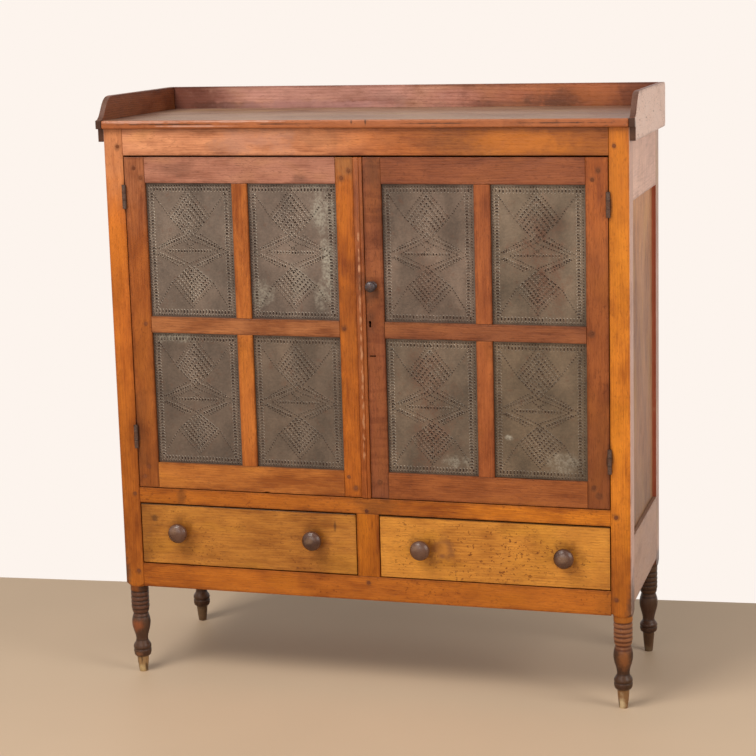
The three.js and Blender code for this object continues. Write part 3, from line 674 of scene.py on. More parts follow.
LEG_PROFILE = [
    (9.9, 0), (10.8, 1.2), (12.4, 13), (14.1, 28), (15.4, 42.8), (18.6, 43.4), (20.8, 45.8),
    (22.2, 50.5), (22.9, 56.5), (22.8, 60.6), (21.4, 62.6), (21.4, 63.8), (22.9, 66),
    (23.1, 69), (22.3, 73.2), (20.1, 77.6), (17.3, 82), (15.8, 86), (15.4, 90), (15.8, 94.8),
    (17, 101), (18.9, 108), (21.1, 115.6), (22.9, 123), (23.9, 130), (24.1, 137), (23.5, 143.6),
    (22.5, 148.4), (21.4, 151.2), (21.2, 152), (21, 154), (20, 157), (18.9, 160), (18.9, 161.4),
    (20.6, 163.4), (21.8, 167), (22.2, 171), (22, 172.2), (22.1, 173.4), (23.1, 175.4),
    (23.4, 178.6), (23.2, 182), (22.3, 183.9), (22.3, 184.9), (23.2, 186.6), (23.5, 189.7),
    (23.2, 193), (22.3, 194.6), (22.3, 195.6), (23.2, 197.4), (23.5, 201), (23.2, 204.8),
    (22.3, 206.6), (22.3, 207.6), (23.2, 209.4), (23.5, 213.4), (23.2, 217.6), (22.3, 219.3),
    (22.3, 220.2), (23.2, 221.6), (23.5, 226), (23.5, 240), (23, 244),
]
SHOULDER_PROFILE = [(24.2, -2), (24.7, 0.8), (26.6, 3), (30.5, 7), (36, 12), (50, 16)]
DRAWER_KNOB_PROFILE = [
    (8, -6), (8, 0.2), (13.2, 0.3), (13, 3), (11.9, 7), (11.2, 10.5), (11.8, 13), (14.4, 15.6),
    (18.6, 17.8), (22.4, 20), (24.5, 23), (25, 26.4), (24.4, 29.8), (22.6, 32.6), (21.6, 33.2),
    (20.4, 34.9), (17.6, 37), (13.6, 38.6), (8.6, 39.6), (3, 40),
]
DOOR_KNOB_PROFILE = [
    (4, -6), (4, 0.2), (9.9, 0.3), (9.8, 1.8), (8.6, 2.9), (6.1, 4), (5.3, 6.6), (5.1, 10.6),
    (5.9, 13), (8, 15.2), (11, 17.4), (13.1, 20.2), (13.7, 23.4), (13.2, 26.8), (11.7, 29.6),
    (11, 30), (8.7, 31.6), (5.2, 32.7), (2, 33),
]
NAIL_PROFILE = [(1.9, -1), (1.9, 0.1), (1.6, 0.35), (0.7, 0.45)]

# Heights on the leg's profile in millimetres: where its bare foot ends, its neck, and its grooves
DRAWN_FOOT = 42.8
NECK_HEIGHT = 90
LEG_GROOVES = (43.2, 63.2, 87, 151.6, 160.8, 172.6, 184.4, 195.1, 207.1, 219.8)

# Where the pegs stand on the front, in millimetres across and up
CASE_PEGS = (
    (-624, 1378), (624, 1378), (-624, 487), (624, 487), (-624, 280.5), (624, 280.5),
    (-2, 471), (-2, 286),
)
LEFT_DOOR_PEGS = (
    (-583, 1324), (-566, 1300), (-571, 931), (-593, 534), (-581, 560), (-23, 1319),
    (-42, 1301), (-45.5, 931), (-45.5, 557), (-28, 529.5),
)
RIGHT_DOOR_PEGS = (
    (586, 1320.5), (572, 1299), (569, 934), (570.5, 559), (584, 538.6), (36, 548),
)

# Where a board turns lighter or darker along its length: the axis, where the fade begins and where
# it is full, and how much red, green and blue are left there
FADES = {
    "front_left_post": ((2, 1.15, 1.4, 0.99, 1.38, 4.6), (2, 0.95, 0.6, 0.76, 0.78, 0.65)),
    "front_right_post": ((2, 1.1, 1.28, 0.76, 0.7, 0.7), (2, 0.55, 0.3, 0.62, 0.56, 0.6)),
    "front_top_rail": ((0, 0.08, 0.28, 0.78, 0.8, 0.72), (0, 0.4, 0.5, 0.85, 0.8, 0.6),
                       (0, 0.15, -0.25, 1.28, 1.77, 3.7), (0, -0.55, -0.62, 0.95, 0.93, 0.96)),
    "front_middle_rail": ((0, 0.05, 0.42, 1.5, 1.65, 1.15),),
    "front_bottom_rail": ((0, 0.54, 0.63, 0.68, 0.68, 0.75),),
    "left_door_hinge_stile": ((2, 1.1, 1.34, 1.15, 1.5, 3.6), (2, 0.95, 0.6, 0.82, 0.85, 0.9)),
    "left_door_meeting_stile": ((2, 1.26, 1.34, 0.78, 1.1, 3.6),),
    "left_door_bead": ((2, 0.8, 0.6, 1.4, 1.4, 1.1),),
    "right_door_meeting_stile": ((2, 0.6, 0.5, 0.78, 0.78, 0.9),),
    "right_door_hinge_stile": ((2, 1.1, 1.25, 1.25, 1.2, 1.0), (2, 0.85, 0.6, 0.7, 0.7, 0.8)),
    "left_drawer_front": ((0, -0.54, -0.6, 0.66, 0.62, 0.6),),
    "gallery_back": ((0, 0.48, 0.62, 0.5, 0.44, 0.4), (0, 0.45, -0.1, 1.3, 2.05, 4.2)),
    "top_board": ((0, -0.56, -0.65, 0.6, 0.55, 0.6), (0, 0.42, 0.64, 0.78, 0.64, 0.64)),
    "side_panel": ((2, 0.9, 1.25, 1.42, 1.36, 1.2), (2, 0.65, 0.45, 0.76, 0.78, 0.72)),
}


def peg_stains(node, colours):
    """Dark wood round the pegs that a board holds."""
    low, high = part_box(node)
    return [mark(x, z, 9.5, 9.5, times(colours.dirt, 2.4), 0.45)
            for x, z in (*CASE_PEGS, *LEFT_DOOR_PEGS, *RIGHT_DOOR_PEGS)
            if low.x < x * MM < high.x and low.z < z * MM < high.z]


def hinge_shadows(side, colours):
    """Painted shadow in the wood round the two hinges of a side."""
    middles = [middle_of(f"{side}_{level}_hinge_case_leaf") / MM for level in ("upper", "lower")]
    return [mark(middle.x, middle.z, 8.5, 38, times(colours.dirt, 1.3), 0.75)
            for middle in middles]


# Posts and turned legs

# How much lower than the rails the square part ends, and the turn in radians from one leg to the
# next, so that their grain differs
SHOULDER_CUT = 0.0035
LEG_TURN = 0.9

# Each post: its colour and how much of that is left, its slot, the height of its bare foot in
# millimetres, and how much of the foot's colour is left
POSTS = {
    "front_left_post": ("left_post", (1, 1, 1), "front_posts", 42.8, (1.15, 1.0, 0.85)),
    "front_right_post": ("right_post", (1, 1, 1), "front_posts", 49, (0.8, 0.6, 0.46)),
    "rear_left_post": ("side_rail", (0.62, 0.5, 0.4), "side_wood", 43.5, (0.48, 0.42, 0.42)),
    "rear_right_post": ("side_rail", (0.8, 0.74, 0.7), "side_wood", 54, (0.34, 0.25, 0.22)),
}

# Bands of another tone round a leg: the heights in metres where each begins and where it is full,
# how ragged it is, its colour, how much of that is left, and its strength
LEG_BANDS = {
    "front_right_post": ((0.149, 0.165, 0.01, "leg", (4.1, 3.6, 2.7), 0.8),
                         (0.216, 0.222, 0.004, "right_post", (0.6, 0.6, 0.6), 0.85)),
    "front_left_post": ((0.149, 0.165, 0.01, "leg", (1.6, 1.45, 1.5), 0.8),
                        (0.216, 0.224, 0.01, "left_post", (0.42, 0.42, 0.42), 0.8)),
}

# Rubs and dirt on a leg, in millimetres: how far right of its axis and behind its post's front,
# the height, and the reach across, in and up; then colour, what is left of it, and strength
LEG_RUBS = {
    "front_right_post": (
        (3, 0, 132, 24, 30, 30, "leg", (3.6, 2.8, 1.5), 0.8),
        (-3, 14, 12, 10, 20, 26, "foot", (1.9, 2.2, 2.6), 0.85),
        (-10.5, 14, 14, 4, 20, 18, "dirt", (1, 1, 1), 0.85),
    ),
    "front_left_post": (
        (-2, 0, 133, 22, 30, 22, "leg", (4.2, 2.6, 1.5), 0.7),
        (18, 10, 232, 14, 30, 14, "dirt", (1.6, 2.2, 3), 0.8),
        (-1, 0, 52, 9, 30, 6, "leg", (4, 3.6, 3), 0.5),
        (0, 14, 10, 12, 20, 20, "foot", (1.7, 1.85, 1.8), 0.75),
        (-9, 14, 20, 2.6, 20, 20, "dirt", (1.8, 1.8, 1.8), 0.75),
        (3, 14, 34, 2.6, 20, 20, "dirt", (1.8, 1.8, 1.8), 0.75),
        (11, 14, 14, 2.6, 20, 20, "dirt", (1.8, 1.8, 1.8), 0.75),
    ),
    "rear_right_post": ((0, 0, 4, 30, 30, 14, "foot", (0.5, 0.5, 0.55), 0.6),),
}


def on_leg(height, foot):
    """A height of the common leg profile on a leg whose bare foot ends at another height."""
    if height <= DRAWN_FOOT:
        return height * foot / DRAWN_FOOT
    if height < NECK_HEIGHT:
        share = (NECK_HEIGHT - foot) / (NECK_HEIGHT - DRAWN_FOOT)
        return NECK_HEIGHT - (NECK_HEIGHT - height) * share
    return height


class PIESAFE_OT_posts(bpy.types.Operator):
    """Square posts worn at their edges, with legs turned below them"""

    bl_idname = "pie_safe.posts"
    bl_label = "Posts and turned legs"

    def square(self, low, high, width):
        """A post's square part, its lower corners turned away above the leg."""
        post = worn_board(low, high, width)
        shoulder = [(radius, low.z / MM + above) for radius, above in SHOULDER_PROFILE]
        above_post = (SHOULDER_PROFILE[-1][0], high.z / MM + 5)
        lathe = turned("lathe_reach", [*shoulder, above_post], 48, smooth=0)
        lathe.location = ((low.x + high.x) / 2, (low.y + high.y) / 2, 0)
        return carved(post, settle(lathe), "INTERSECT")

    def post_wood(self, node, colours, seed, low, high):
        """Wood of the square part. A front post is dull on its outer side and dark low down there.
        A rear one is red on the step beside the panel, and dark at its base."""
        name, shares, slot = POSTS[node][:3]
        side = colours.side_rail
        middle = (low + high) / 2
        outer, inward = (low.x, 0.002) if middle.x < 0 else (high.x, -0.002)
        if slot == "front_posts":
            bands = [(0, outer + inward, outer + inward * 0.3, 0, side, 0.85)]
            marks = [(Vector((outer, middle.y, 0.24)), (0.014, 0.1, 0.11),
                      times(side, 0.16, 0.1, 0.06), 0.9)]
            marks += hinge_shadows("left" if middle.x < 0 else "right", colours)
            marks += peg_stains(node, colours)
        else:
            bands = [(2, 0.262, 0.25, 0.01, colours.leg, 0.9)]
            marks = [(Vector((outer, low.y, 0.85)), (0.034, 0.0016, FAR),
                      times(side, 0.62, 0.26, 0.17), 1.0),
                     (Vector((middle.x, middle.y, 0.23)), (FAR, FAR, 0.06), colours.leg, 0.95)]
        return wood(node + "_shellac", toned(colours, name, shares), "Z", seed, (low, high),
                    specks=0.25, edge=0.3, fades=FADES.get(node, ()), bands=bands, marks=marks)

    def leg_wood(self, node, colours, seed, middle, front):
        """Dark wood of the leg, with a bare foot, dirt in its grooves, and its rubs."""
        foot, foot_shares = POSTS[node][3:]
        bands = [(2, foot * MM + 0.0032, foot * MM - 0.0018, 0.012,
                  times(colours.foot, *foot_shares), 0.85)]
        bands += [(2, start, full, drift, toned(colours, name, shares), strength)
                  for start, full, drift, name, shares, strength in LEG_BANDS.get(node, ())]
        marks = [(Vector((middle.x + right * MM, front + behind * MM, up * MM)),
                  (wide * MM, deep * MM, tall * MM), toned(colours, name, shares), strength)
                 for right, behind, up, wide, deep, tall, name, shares, strength
                 in LEG_RUBS.get(node, ())]
        dark = times(colours.dirt, 1.3)
        if node == "front_right_post":
            dark = times(colours.leg, 1.1, 0.62, 0.34)
        upper_groove = (FAR, FAR, 0.0028), dark, 0.9
        lower_groove = (FAR, FAR, 0.0022), times(colours.dirt, 1.1), 0.6
        for height in LEG_GROOVES:
            centre = Vector((middle.x, middle.y, on_leg(height, foot) * MM))
            marks.append((centre, *(upper_groove if height > NECK_HEIGHT else lower_groove)))
        return wood(node + "_leg", colours.leg, "Z", seed + 20, rings=9, smudge=0.7, gloss=0.36,
                    bands=bands, marks=marks)

    def execute(self, context):
        sizes, colours = context.scene.pie_safe_sizes, context.scene.pie_safe_colours
        for seed, node in enumerate(POSTS, 1):
            slot, foot = POSTS[node][2:4]
            low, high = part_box(node)
            low.z = leg_top - SHOULDER_CUT
            square = self.square(low, high, sizes.edge_wear)
            leg = turned("leg", [(radius, on_leg(height, foot)) for radius, height in LEG_PROFILE],
                         sizes.turning_sides)
            middle = (low + high) / 2
            leg.location = (middle.x, middle.y, 0)
            leg.rotation_euler = (0, 0, seed * LEG_TURN)
            coated(square, self.post_wood(node, colours, seed, low, high))
            coated(leg, self.leg_wood(node, colours, seed, middle, low.y))
            dress(joined(node + "_turned", square, leg), "case", slot, node)
        return {"FINISHED"}


# Rails of the front, and the divider

class PIESAFE_OT_rails(bpy.types.Operator):
    """Front rails and the divider between the drawers"""

    bl_idname = "pie_safe.rails"
    bl_label = "Front rails and divider"

    def execute(self, context):
        colours = context.scene.pie_safe_colours
        soot_and_shade = times(colours.dirt, 1.5)
        looks = {
            "front_top_rail": (colours.top_rail, "X", 0.0, [
                mark(-105, 1396, 80, 24, soot_and_shade, 0.25),
                mark(150, 1398, 130, 26, soot_and_shade, 0.15),
                mark(255, 1380, 120, 30, soot_and_shade, 0.22),
                mark(-346, 1380, 60, 18, soot_and_shade, 0.2),
                mark(-270, 1392, 120, 36, times(colours.gallery_end, 0.5, 0.36, 0.34), 0.45),
                mark(400, 1388, 130, 40, colours.right_post, 0.45),
            ]),
            "front_middle_rail": (times(colours.lower_rails, 0.88), "X", 0.6, [
                mark(-494, 484, 16, 30, soot_and_shade, 0.4),
                mark(12, 486, 60, 30, soot_and_shade, 0.4),
            ]),
            "front_bottom_rail": (times(colours.lower_rails, 0.92), "X", 0.6, []),
            "drawer_divider": (times(colours.lower_rails, 0.95, 0.95, 0.45), "Z", 0.6, []),
        }
        for seed, (node, (colour, grain, specks, marks)) in enumerate(looks.items(), 5):
            material = wood(node + "_shellac", colour, grain, seed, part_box(node), specks=specks,
                            fades=FADES.get(node, ()), marks=marks + peg_stains(node, colours))
            dress(coated(worn_copy(node), material), "case", "front_rails", node)
        return {"FINISHED"}


# Sides

class PIESAFE_OT_sides(bpy.types.Operator):
    """Side rails and the panels in their grooves"""

    bl_idname = "pie_safe.sides"
    bl_label = "Side rails and panels"

    def execute(self, context):
        colours = context.scene.pie_safe_colours
        for side, seed in (("left", 9), ("right", 12)):
            for part, shares, curl in (("top_rail", (1.0, 0.98, 0.98), 0.15),
                                       ("bottom_rail", (0.6, 0.55, 0.48), 0)):
                node = f"{side}_side_{part}"
                material = wood(node + "_finish", times(colours.side_rail, *shares), "Y", seed,
                                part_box(node), curl=curl, figure=0.16, smudge=0.2, flecks=0.15,
                                amber=0, clouding=0.5, gloss=0.5)
                dress(coated(worn_copy(node), material), "case", "side_wood", node)
                seed += 1
            node = f"{side}_side_panel"
            low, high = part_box(node)
            material = wood(node + "_finish", times(colours.side_panel, 1.02, 0.93, 0.82), "Z",
                            seed, (low, high), figure=0.25, rings=9, smudge=0.4, gloss=0.52,
                            edge=0.8, fades=FADES["side_panel"])
            panel = worn_board(low, high, 0.0015, node + "_board")
            dress(coated(panel, material), "case", "side_wood", node)
        return {"FINISHED"}


# Inside boards and the back

class PIESAFE_OT_inside(bpy.types.Operator):
    """Bare wood for the floor, shelf, bearer and drawer boxes"""

    bl_idname = "pie_safe.inside"
    bl_label = "Inside boards"

    def execute(self, context):
        colours = context.scene.pie_safe_colours
        for seed, (node, grain) in enumerate((
                ("cupboard_floor", "X"), ("cupboard_shelf", "X"), ("drawer_bearer", "X"),
                ("left_drawer_box", "Y"), ("right_drawer_box", "Y")), 16):
            nodes[node].material_slots[0].material = wood(
                node + "_bare", colours.inside, grain, seed, figure=0.28, rings=11, smudge=0.3,
                gloss=0.7)
        return {"FINISHED"}


class PIESAFE_OT_back(bpy.types.Operator):
    """Upright boards nailed over the back"""

    bl_idname = "pie_safe.back"
    bl_label = "Back boards"

    def execute(self, context):
        sizes, colours = context.scene.pie_safe_sizes, context.scene.pie_safe_colours
        low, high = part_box("back_panel")
        joint = 0.0012
        boards = []
        start = low.x
        for index in range(sizes.back_boards):
            share = (index + 1 + 0.18 * math.sin(index * 2.6)) / sizes.back_boards
            end = high.x if index == sizes.back_boards - 1 else low.x + share * (high.x - low.x)
            corners = Vector((start, low.y, low.z)), Vector((end - joint, high.y, high.z))
            bare = times(colours.inside, 0.72 + 0.1 * math.sin(index * 2.1))
            board = worn_board(*corners, 0.001)
            boards.append(coated(board, wood(
                f"back_board_{index + 1}", bare, "Z", 80 + index, corners, figure=0.3, rings=11,
                smudge=0.4, gloss=0.75)))
            start = end
        dress(joined("back_boards", *boards), "case", "inner_wood", "back_panel")
        return {"FINISHED"}


# Top and gallery

# Dirt, and pale places of bare wood and painted highlight, on the top board's front edge, and marks
# on the gallery's back: across, up, and the reach both ways in millimetres. The gallery's also have
# a tone and a strength; the dark ones along its foot are dirt and painted shade.
TOP_EDGE_DIRT = ((-480, 1433, 160, 2.2), (-200, 1433, 120, 2), (-8, 1436, 4, 10), (27, 1436, 3, 10),
                 (200, 1433, 100, 2), (500, 1433, 120, 2))
# Pale places of bare wood and painted highlight, most along the upper arris
TOP_EDGE_BARE_AND_HIGHLIGHT = ((-560, 1438.5, 110, 4), (-300, 1439.5, 160, 3), (-420, 1428.5, 120, 2.5))
GALLERY_MARKS = (
    (-440, 1494, 140, 8, "pale", 0.25), (-250, 1480, 300, 30, "pale", 0.2),
    (-60, 1466, 70, 26, "soot_and_shade", 0.2), (430, 1462, 130, 30, "soot_and_shade", 0.5),
    # These two dark marks along the gallery's foot are dirt and painted shade
    (300, 1449, 240, 10, "soot_and_shade", 0.35), (-510, 1450, 130, 14, "soot_and_shade", 0.45),
    (-270, 1450, 250, 14, "grey", 0.5), (500, 1480, 70, 50, "red", 0.5),
)
GALLERY_REAR_CORNERS = 0.014


class PIESAFE_OT_top(bpy.types.Operator):
    """Top board and the gallery round it"""

    bl_idname = "pie_safe.top"
    bl_label = "Top board and gallery"

    def top_board(self, sizes, colours, tones):
        low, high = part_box("top_board")
        # A dark band of dirt and painted shade along the rear edge, in the corner at the gallery's
        # foot
        behind = (Vector((0, high.y, high.z)), (FAR, 0.01, 0.01), tones["soot_and_shade"], 0.7)
        marks = [behind] + [
            mark(*place, tones[tone], 0.75, low.y, 0.006)
            for tone, places in (("soot_and_shade", TOP_EDGE_DIRT), ("pale", TOP_EDGE_BARE_AND_HIGHLIGHT))
            for place in places]
        # The top surface takes the colour greyed by painted sheen, and the band along the front
        # edge takes the finish's own colour
        material = wood("top_board_finish", colours.top_board, "X", 23, (low, high), figure=0.45,
                        rings=10, smudge=0.4, flecks=0.5, gloss=0.4, edge=0.3,
                        fades=FADES["top_board"], marks=marks,
                        bands=[(1, low.y + 0.007, low.y + 0.001, 0.004, colours.top_edge, 0.85)])
        board = worn_copy("top_board", sizes.top_edge_wear)
        dress(coated(board, material), "case", "top_wood", "top_board")

    def gallery_back(self, colours, tones):
        low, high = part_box("gallery_back")
        marks = [mark(*place, tones[tone], strength, low.y, 0.012)
                 for *place, tone, strength in GALLERY_MARKS]
        dark = times(colours.gallery, 0.32, 0.26, 0.3)
        material = wood("gallery_back_finish", colours.gallery, "X", 24, (low, high), smudge=0.7,
                        figure=0.3, rings=8, gloss=0.4, edge=0.6, fades=FADES["gallery_back"],
                        bands=[(0, -0.42, -0.58, 0.1, dark, 0.85)], marks=marks)
        board = worn_copy("gallery_back", rear_corners=GALLERY_REAR_CORNERS)
        dress(coated(board, material), "case", "top_wood", "gallery_back")

    def gallery_end(self, side, sign, seed, outer, colours, tones):
        """An end in two tones, its outside and its inside, with the shaped front in a third."""
        node = f"gallery_{side}_end"
        low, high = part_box(node)
        outside = high.x if sign > 0 else low.x
        bands = [(0, outside - sign * 0.0015, outside - sign * 0.0005, 0, outer, 0.8)]
        front = [(Vector((outside, low.y, 1.42)), (0.06, 0.022, 0.06),
                  times(tones["soot_and_shade"], 2.2), 0.75)]
        material = wood(node + "_finish", times(colours.gallery, 0.62), "Y", seed, (low, high),
                        figure=0.4, smudge=0.5, flecks=0.5, gloss=0.42, bands=bands, marks=front)
        ogee = wood(node + "_ogee", times(colours.gallery, 0.36, 0.55, 0.95), "Y", seed + 40,
                    (low, high), specks=0.4, gloss=0.5, marks=front)
        piece = worn_copy(node, shortest=0.003, rear_corners=GALLERY_REAR_CORNERS)
        coated(smoothed(piece, 20), material, ogee)
        for polygon in piece.data.polygons:
            polygon.material_index = 1 if polygon.normal.y < -0.4 else 0
        dress(piece, "case", "side_wood", node)

    def execute(self, context):
        sizes, colours = context.scene.pie_safe_sizes, context.scene.pie_safe_colours
        tones = {
            "soot_and_shade": times(colours.dirt, 1.2),
            "pale": times(colours.gallery_end, 0.85, 0.66, 0.6),
            "grey": times(colours.gallery_end, 0.5, 0.36, 0.42),
            "red": colours.top_edge,
        }
        self.top_board(sizes, colours, tones)
        self.gallery_back(colours, tones)
        self.gallery_end("left", -1, 25, times(colours.gallery, 0.7), colours, tones)
        self.gallery_end("right", 1, 26, times(colours.gallery_end, 1.07), colours, tones)
        return {"FINISHED"}


# Doors

DOOR_PARTS = ("hinge_stile", "meeting_stile", "bottom_rail", "middle_rail", "top_rail", "muntin")

# How each part has faded or darkened beside its door's own colour: red, green, blue
DOOR_TONES = {
    "left_door_hinge_stile": (0.69, 0.66, 0.42), "left_door_meeting_stile": (0.93, 0.88, 0.28),
    "left_door_bottom_rail": (1.0, 1.2, 0.84), "left_door_middle_rail": (0.8, 1.04, 1.35),
    "left_door_top_rail": (0.94, 1.14, 1.45), "left_door_muntin": (0.95, 1.0, 0.65),
    "right_door_hinge_stile": (0.95, 1.0, 0.6), "right_door_meeting_stile": (0.78, 0.86, 0.79),
    "right_door_bottom_rail": (1.03, 1.17, 0.76), "right_door_middle_rail": (0.81, 0.97, 0.9),
    "right_door_top_rail": (0.81, 0.91, 0.87), "right_door_muntin": (1.05, 1.1, 0.74),
}

# Bites broken out of the door frames, in millimetres: across, up, and the reach each way
DOOR_CHIPS = {
    "left_door_bottom_rail": ((-265, 505, (12, 9, 3.2)),),
    "right_door_middle_rail": ((206, 908.5, (26, 6, 3.4)), (240, 909, (12, 6, 2.2))),
}

# Small chips down the bead
BEAD_CHIPS = 37


class PIESAFE_OT_doors(bpy.types.Operator):
    """Door frames with their chips, and the bead that covers the gap between them"""

    bl_idname = "pie_safe.doors"
    bl_label = "Door frames"

    def bead_marks(self, colours, soot_and_shade):
        """Small chips of the finish down the bead, and the painted shadow of the right door's knob
        beside it.
        """
        bare = times(colours.gallery_end, 0.9, 0.64, 0.4)
        marks = []
        for index in range(BEAD_CHIPS):
            place = at(-2 + 1.3 * math.sin(index * 3.1),
                       1165 - 15.5 * index + 7 * math.sin(index * 2.3), -3)
            wide = 0.0018 + 0.0015 * math.sin(index * 0.7 - 2) ** 2
            tall = 0.006 + 0.007 * math.sin(index * 1.7) ** 2
            strength = 0.5 + 0.4 * math.sin(index * 0.9) ** 2
            marks.append((place, (wide, 0.004, tall), bare, strength))
        # The last mark is the knob's shadow, painted on the bead
        return [*marks, mark(0, 1045, 20, 30, soot_and_shade, 0.5)]

    def bead(self, colours, soot_and_shade, seed):
        """The bead as two rounded ribs side by side."""
        node = "left_door_bead"
        low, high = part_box(node)
        material = wood(node + "_shellac", times(colours.left_door, 0.85, 0.9, 0.95), "Z", seed,
                        (low, high), fades=FADES[node], marks=self.bead_marks(colours, soot_and_shade))
        valley = low.x + 0.0145
        ribs = [smoothed(worn_board((start, low.y, low.z), (end, high.y, high.z), 0.0024), 50)
                for start, end in ((low.x, valley), (valley, high.x))]
        dress(coated(joined(node + "_ribs", *ribs), material), "left_door", "left_door_wood", node)

    def execute(self, context):
        colours = context.scene.pie_safe_colours
        soot_and_shade = times(colours.dirt, 1.5)
        marks = {
            "left_door_top_rail": [mark(-475, 1320, 60, 24, soot_and_shade, 0.25),
                                   mark(-149, 1297, 18, 12, soot_and_shade, 0.35)],
            "left_door_hinge_stile": [mark(-598, 640, 30, 120, soot_and_shade, 0.25),
                                      *hinge_shadows("left", colours)],
            "left_door_meeting_stile": [mark(-34, 930, 30, 170, soot_and_shade, 0.22)],
            "right_door_meeting_stile": [mark(28, 1026, 26, 36, soot_and_shade, 0.55),
                                         mark(21, 950, 18, 36, soot_and_shade, 0.35),
                                         mark(30, 1318, 26, 50, soot_and_shade, 0.35)],
            "right_door_hinge_stile": hinge_shadows("right", colours),
        }
        seed = 30
        for door, door_colour in (("left_door", colours.left_door),
                                  ("right_door", colours.right_door)):
            for part in DOOR_PARTS:
                node = f"{door}_{part}"
                grain = "X" if part.endswith("rail") else "Z"
                colour = colours.left_door_top if node == "left_door_top_rail" else door_colour
                curl = 0.5 if node == "right_door_meeting_stile" else 0.0
                piece = worn_copy(node)
                for x, z, reach in DOOR_CHIPS.get(node, ()):
                    chipped(piece, at(x, z), reach)
                material = wood(node + "_shellac", times(colour, *DOOR_TONES[node]), grain, seed,
                                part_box(node), curl=curl, specks=0.35, fades=FADES.get(node, ()),
                                marks=[*marks.get(node, ()), *peg_stains(node, colours)])
                dress(coated(piece, material), door, door + "_wood", node)
                seed += 1
        self.bead(colours, soot_and_shade, seed)
        return {"FINISHED"}


# Punched tins. A place on a tin is its share across from the left and down from the top.

UPPER_DIAMOND = ((0.485, 0.035), (0.725, 0.24), (0.485, 0.41), (0.245, 0.24))
LOWER_DIAMOND = ((0.485, 0.925), (0.745, 0.745), (0.49, 0.607), (0.26, 0.742))
LEVEL_BORDERS = (((0.06, 0.047), (0.94, 0.047)), ((0.06, 0.96), (0.94, 0.96)))
UPRIGHT_BORDERS = (((0.062, 0.08), (0.062, 0.935)), ((0.92, 0.08), (0.92, 0.935)))
OUTER_DOTS = (
    ((0.03, 0.02), (0.97, 0.02)), ((0.03, 0.984), (0.97, 0.984)),
    ((0.022, 0.04), (0.022, 0.965)), ((0.968, 0.04), (0.968, 0.965)),
)
EYE_ROWS = (
    ((0.13, 0.483), (0.42, 0.4)), ((0.56, 0.398), (0.83, 0.485)),
    ((0.13, 0.53), (0.4, 0.606)), ((0.57, 0.608), (0.83, 0.529)),
    ((0.25, 0.505), (0.72, 0.505)),
)
DOT_LINES = (
    ((0.055, 0.503), (0.367, 0.379)), ((0.614, 0.379), (0.9, 0.5)),
    ((0.055, 0.513), (0.329, 0.612)), ((0.617, 0.622), (0.9, 0.512)),
    ((0.2, 0.5), (0.47, 0.413)), ((0.47, 0.413), (0.8, 0.5)),
    ((0.2, 0.51), (0.47, 0.598)), ((0.47, 0.598), (0.8, 0.51)),
    ((0.43, 0.44), (0.55, 0.5)), ((0.55, 0.44), (0.43, 0.5)),
    ((0.07, 0.075), (0.245, 0.24)), ((0.91, 0.07), (0.725, 0.24)),
    ((0.07, 0.935), (0.26, 0.742)), ((0.9, 0.915), (0.745, 0.745)),
)

# Parts that the chevrons' peaks divide a diamond's height into
CHEVRONS = 7

# How each tin has tarnished beside the common colour: red, green, blue, and how far the painted
# highlight of its burrs and the dark of its slits are drawn towards the sheet's colour
TIN_TONES = {
    "left_door_upper_outer_tin": (1.0, 1.0, 1.05, 0.15),
    "left_door_upper_inner_tin": (0.98, 0.96, 1.01, 0.2),
    "left_door_lower_outer_tin": (0.9, 0.88, 0.9, 0.4),
    "left_door_lower_inner_tin": (0.88, 0.85, 0.83, 0.65),
    "right_door_upper_outer_tin": (0.97, 0.94, 0.86, 0.4),
    "right_door_upper_inner_tin": (1.0, 0.94, 0.94, 0.55),
    "right_door_lower_outer_tin": (0.95, 0.9, 0.77, 0.75),
    "right_door_lower_inner_tin": (0.98, 0.95, 0.89, 0.35),
}

# Rust, bright rubs and a hole, painted as a black spot of shade, on the tins: across, up, and the
# reach both ways in millimetres, the tone and the strength
TIN_MARKS = (
    (448, 1190, 70, 60, "rust", 0.4), (440, 1119, 66, 60, "rust", 0.45),
    (463, 1040, 54, 80, "rust", 0.5), (157, 815, 64, 80, "rust", 0.45),
    (164, 660, 66, 80, "rust", 0.5), (170, 1050, 50, 80, "rust", 0.28),
    (-95, 1215, 34, 60, "bright", 0.75), (-110, 1283, 50, 16, "bright", 0.5),
    (-84, 1085, 20, 70, "bright", 0.95), (-98, 1010, 26, 40, "bright", 0.6),
    (-159, 1049, 30, 40, "bright", 0.35), (-258, 1015, 34, 34, "bright", 0.55),
    (-483, 898, 60, 16, "bright", 0.7), (226, 607, 34, 16, "bright", 0.7),
    (359, 671, 12, 8, "bright", 1.0), (500, 610, 44, 30, "bright", 0.45),
    (-388, 1272, 5, 5, "hole", 1.0),
)


def tin_marks(node, colours, rust_share, strength_share):
    """The marks that lie on one tin, with how much of the rust's colour and of their strength is
    kept."""
    # The hole is a near-black spot of painted shade
    tones = {"rust": times(colours.rust, rust_share), "bright": colours.tin_light,
             "hole": (0.004, 0.003, 0.003)}
    low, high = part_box(node)
    return [mark(x, z, wide, tall, tones[tone], min(1, strength * strength_share))
            for x, z, wide, tall, tone, strength in TIN_MARKS
            if low.x < x * MM < high.x and low.z < z * MM < high.z]


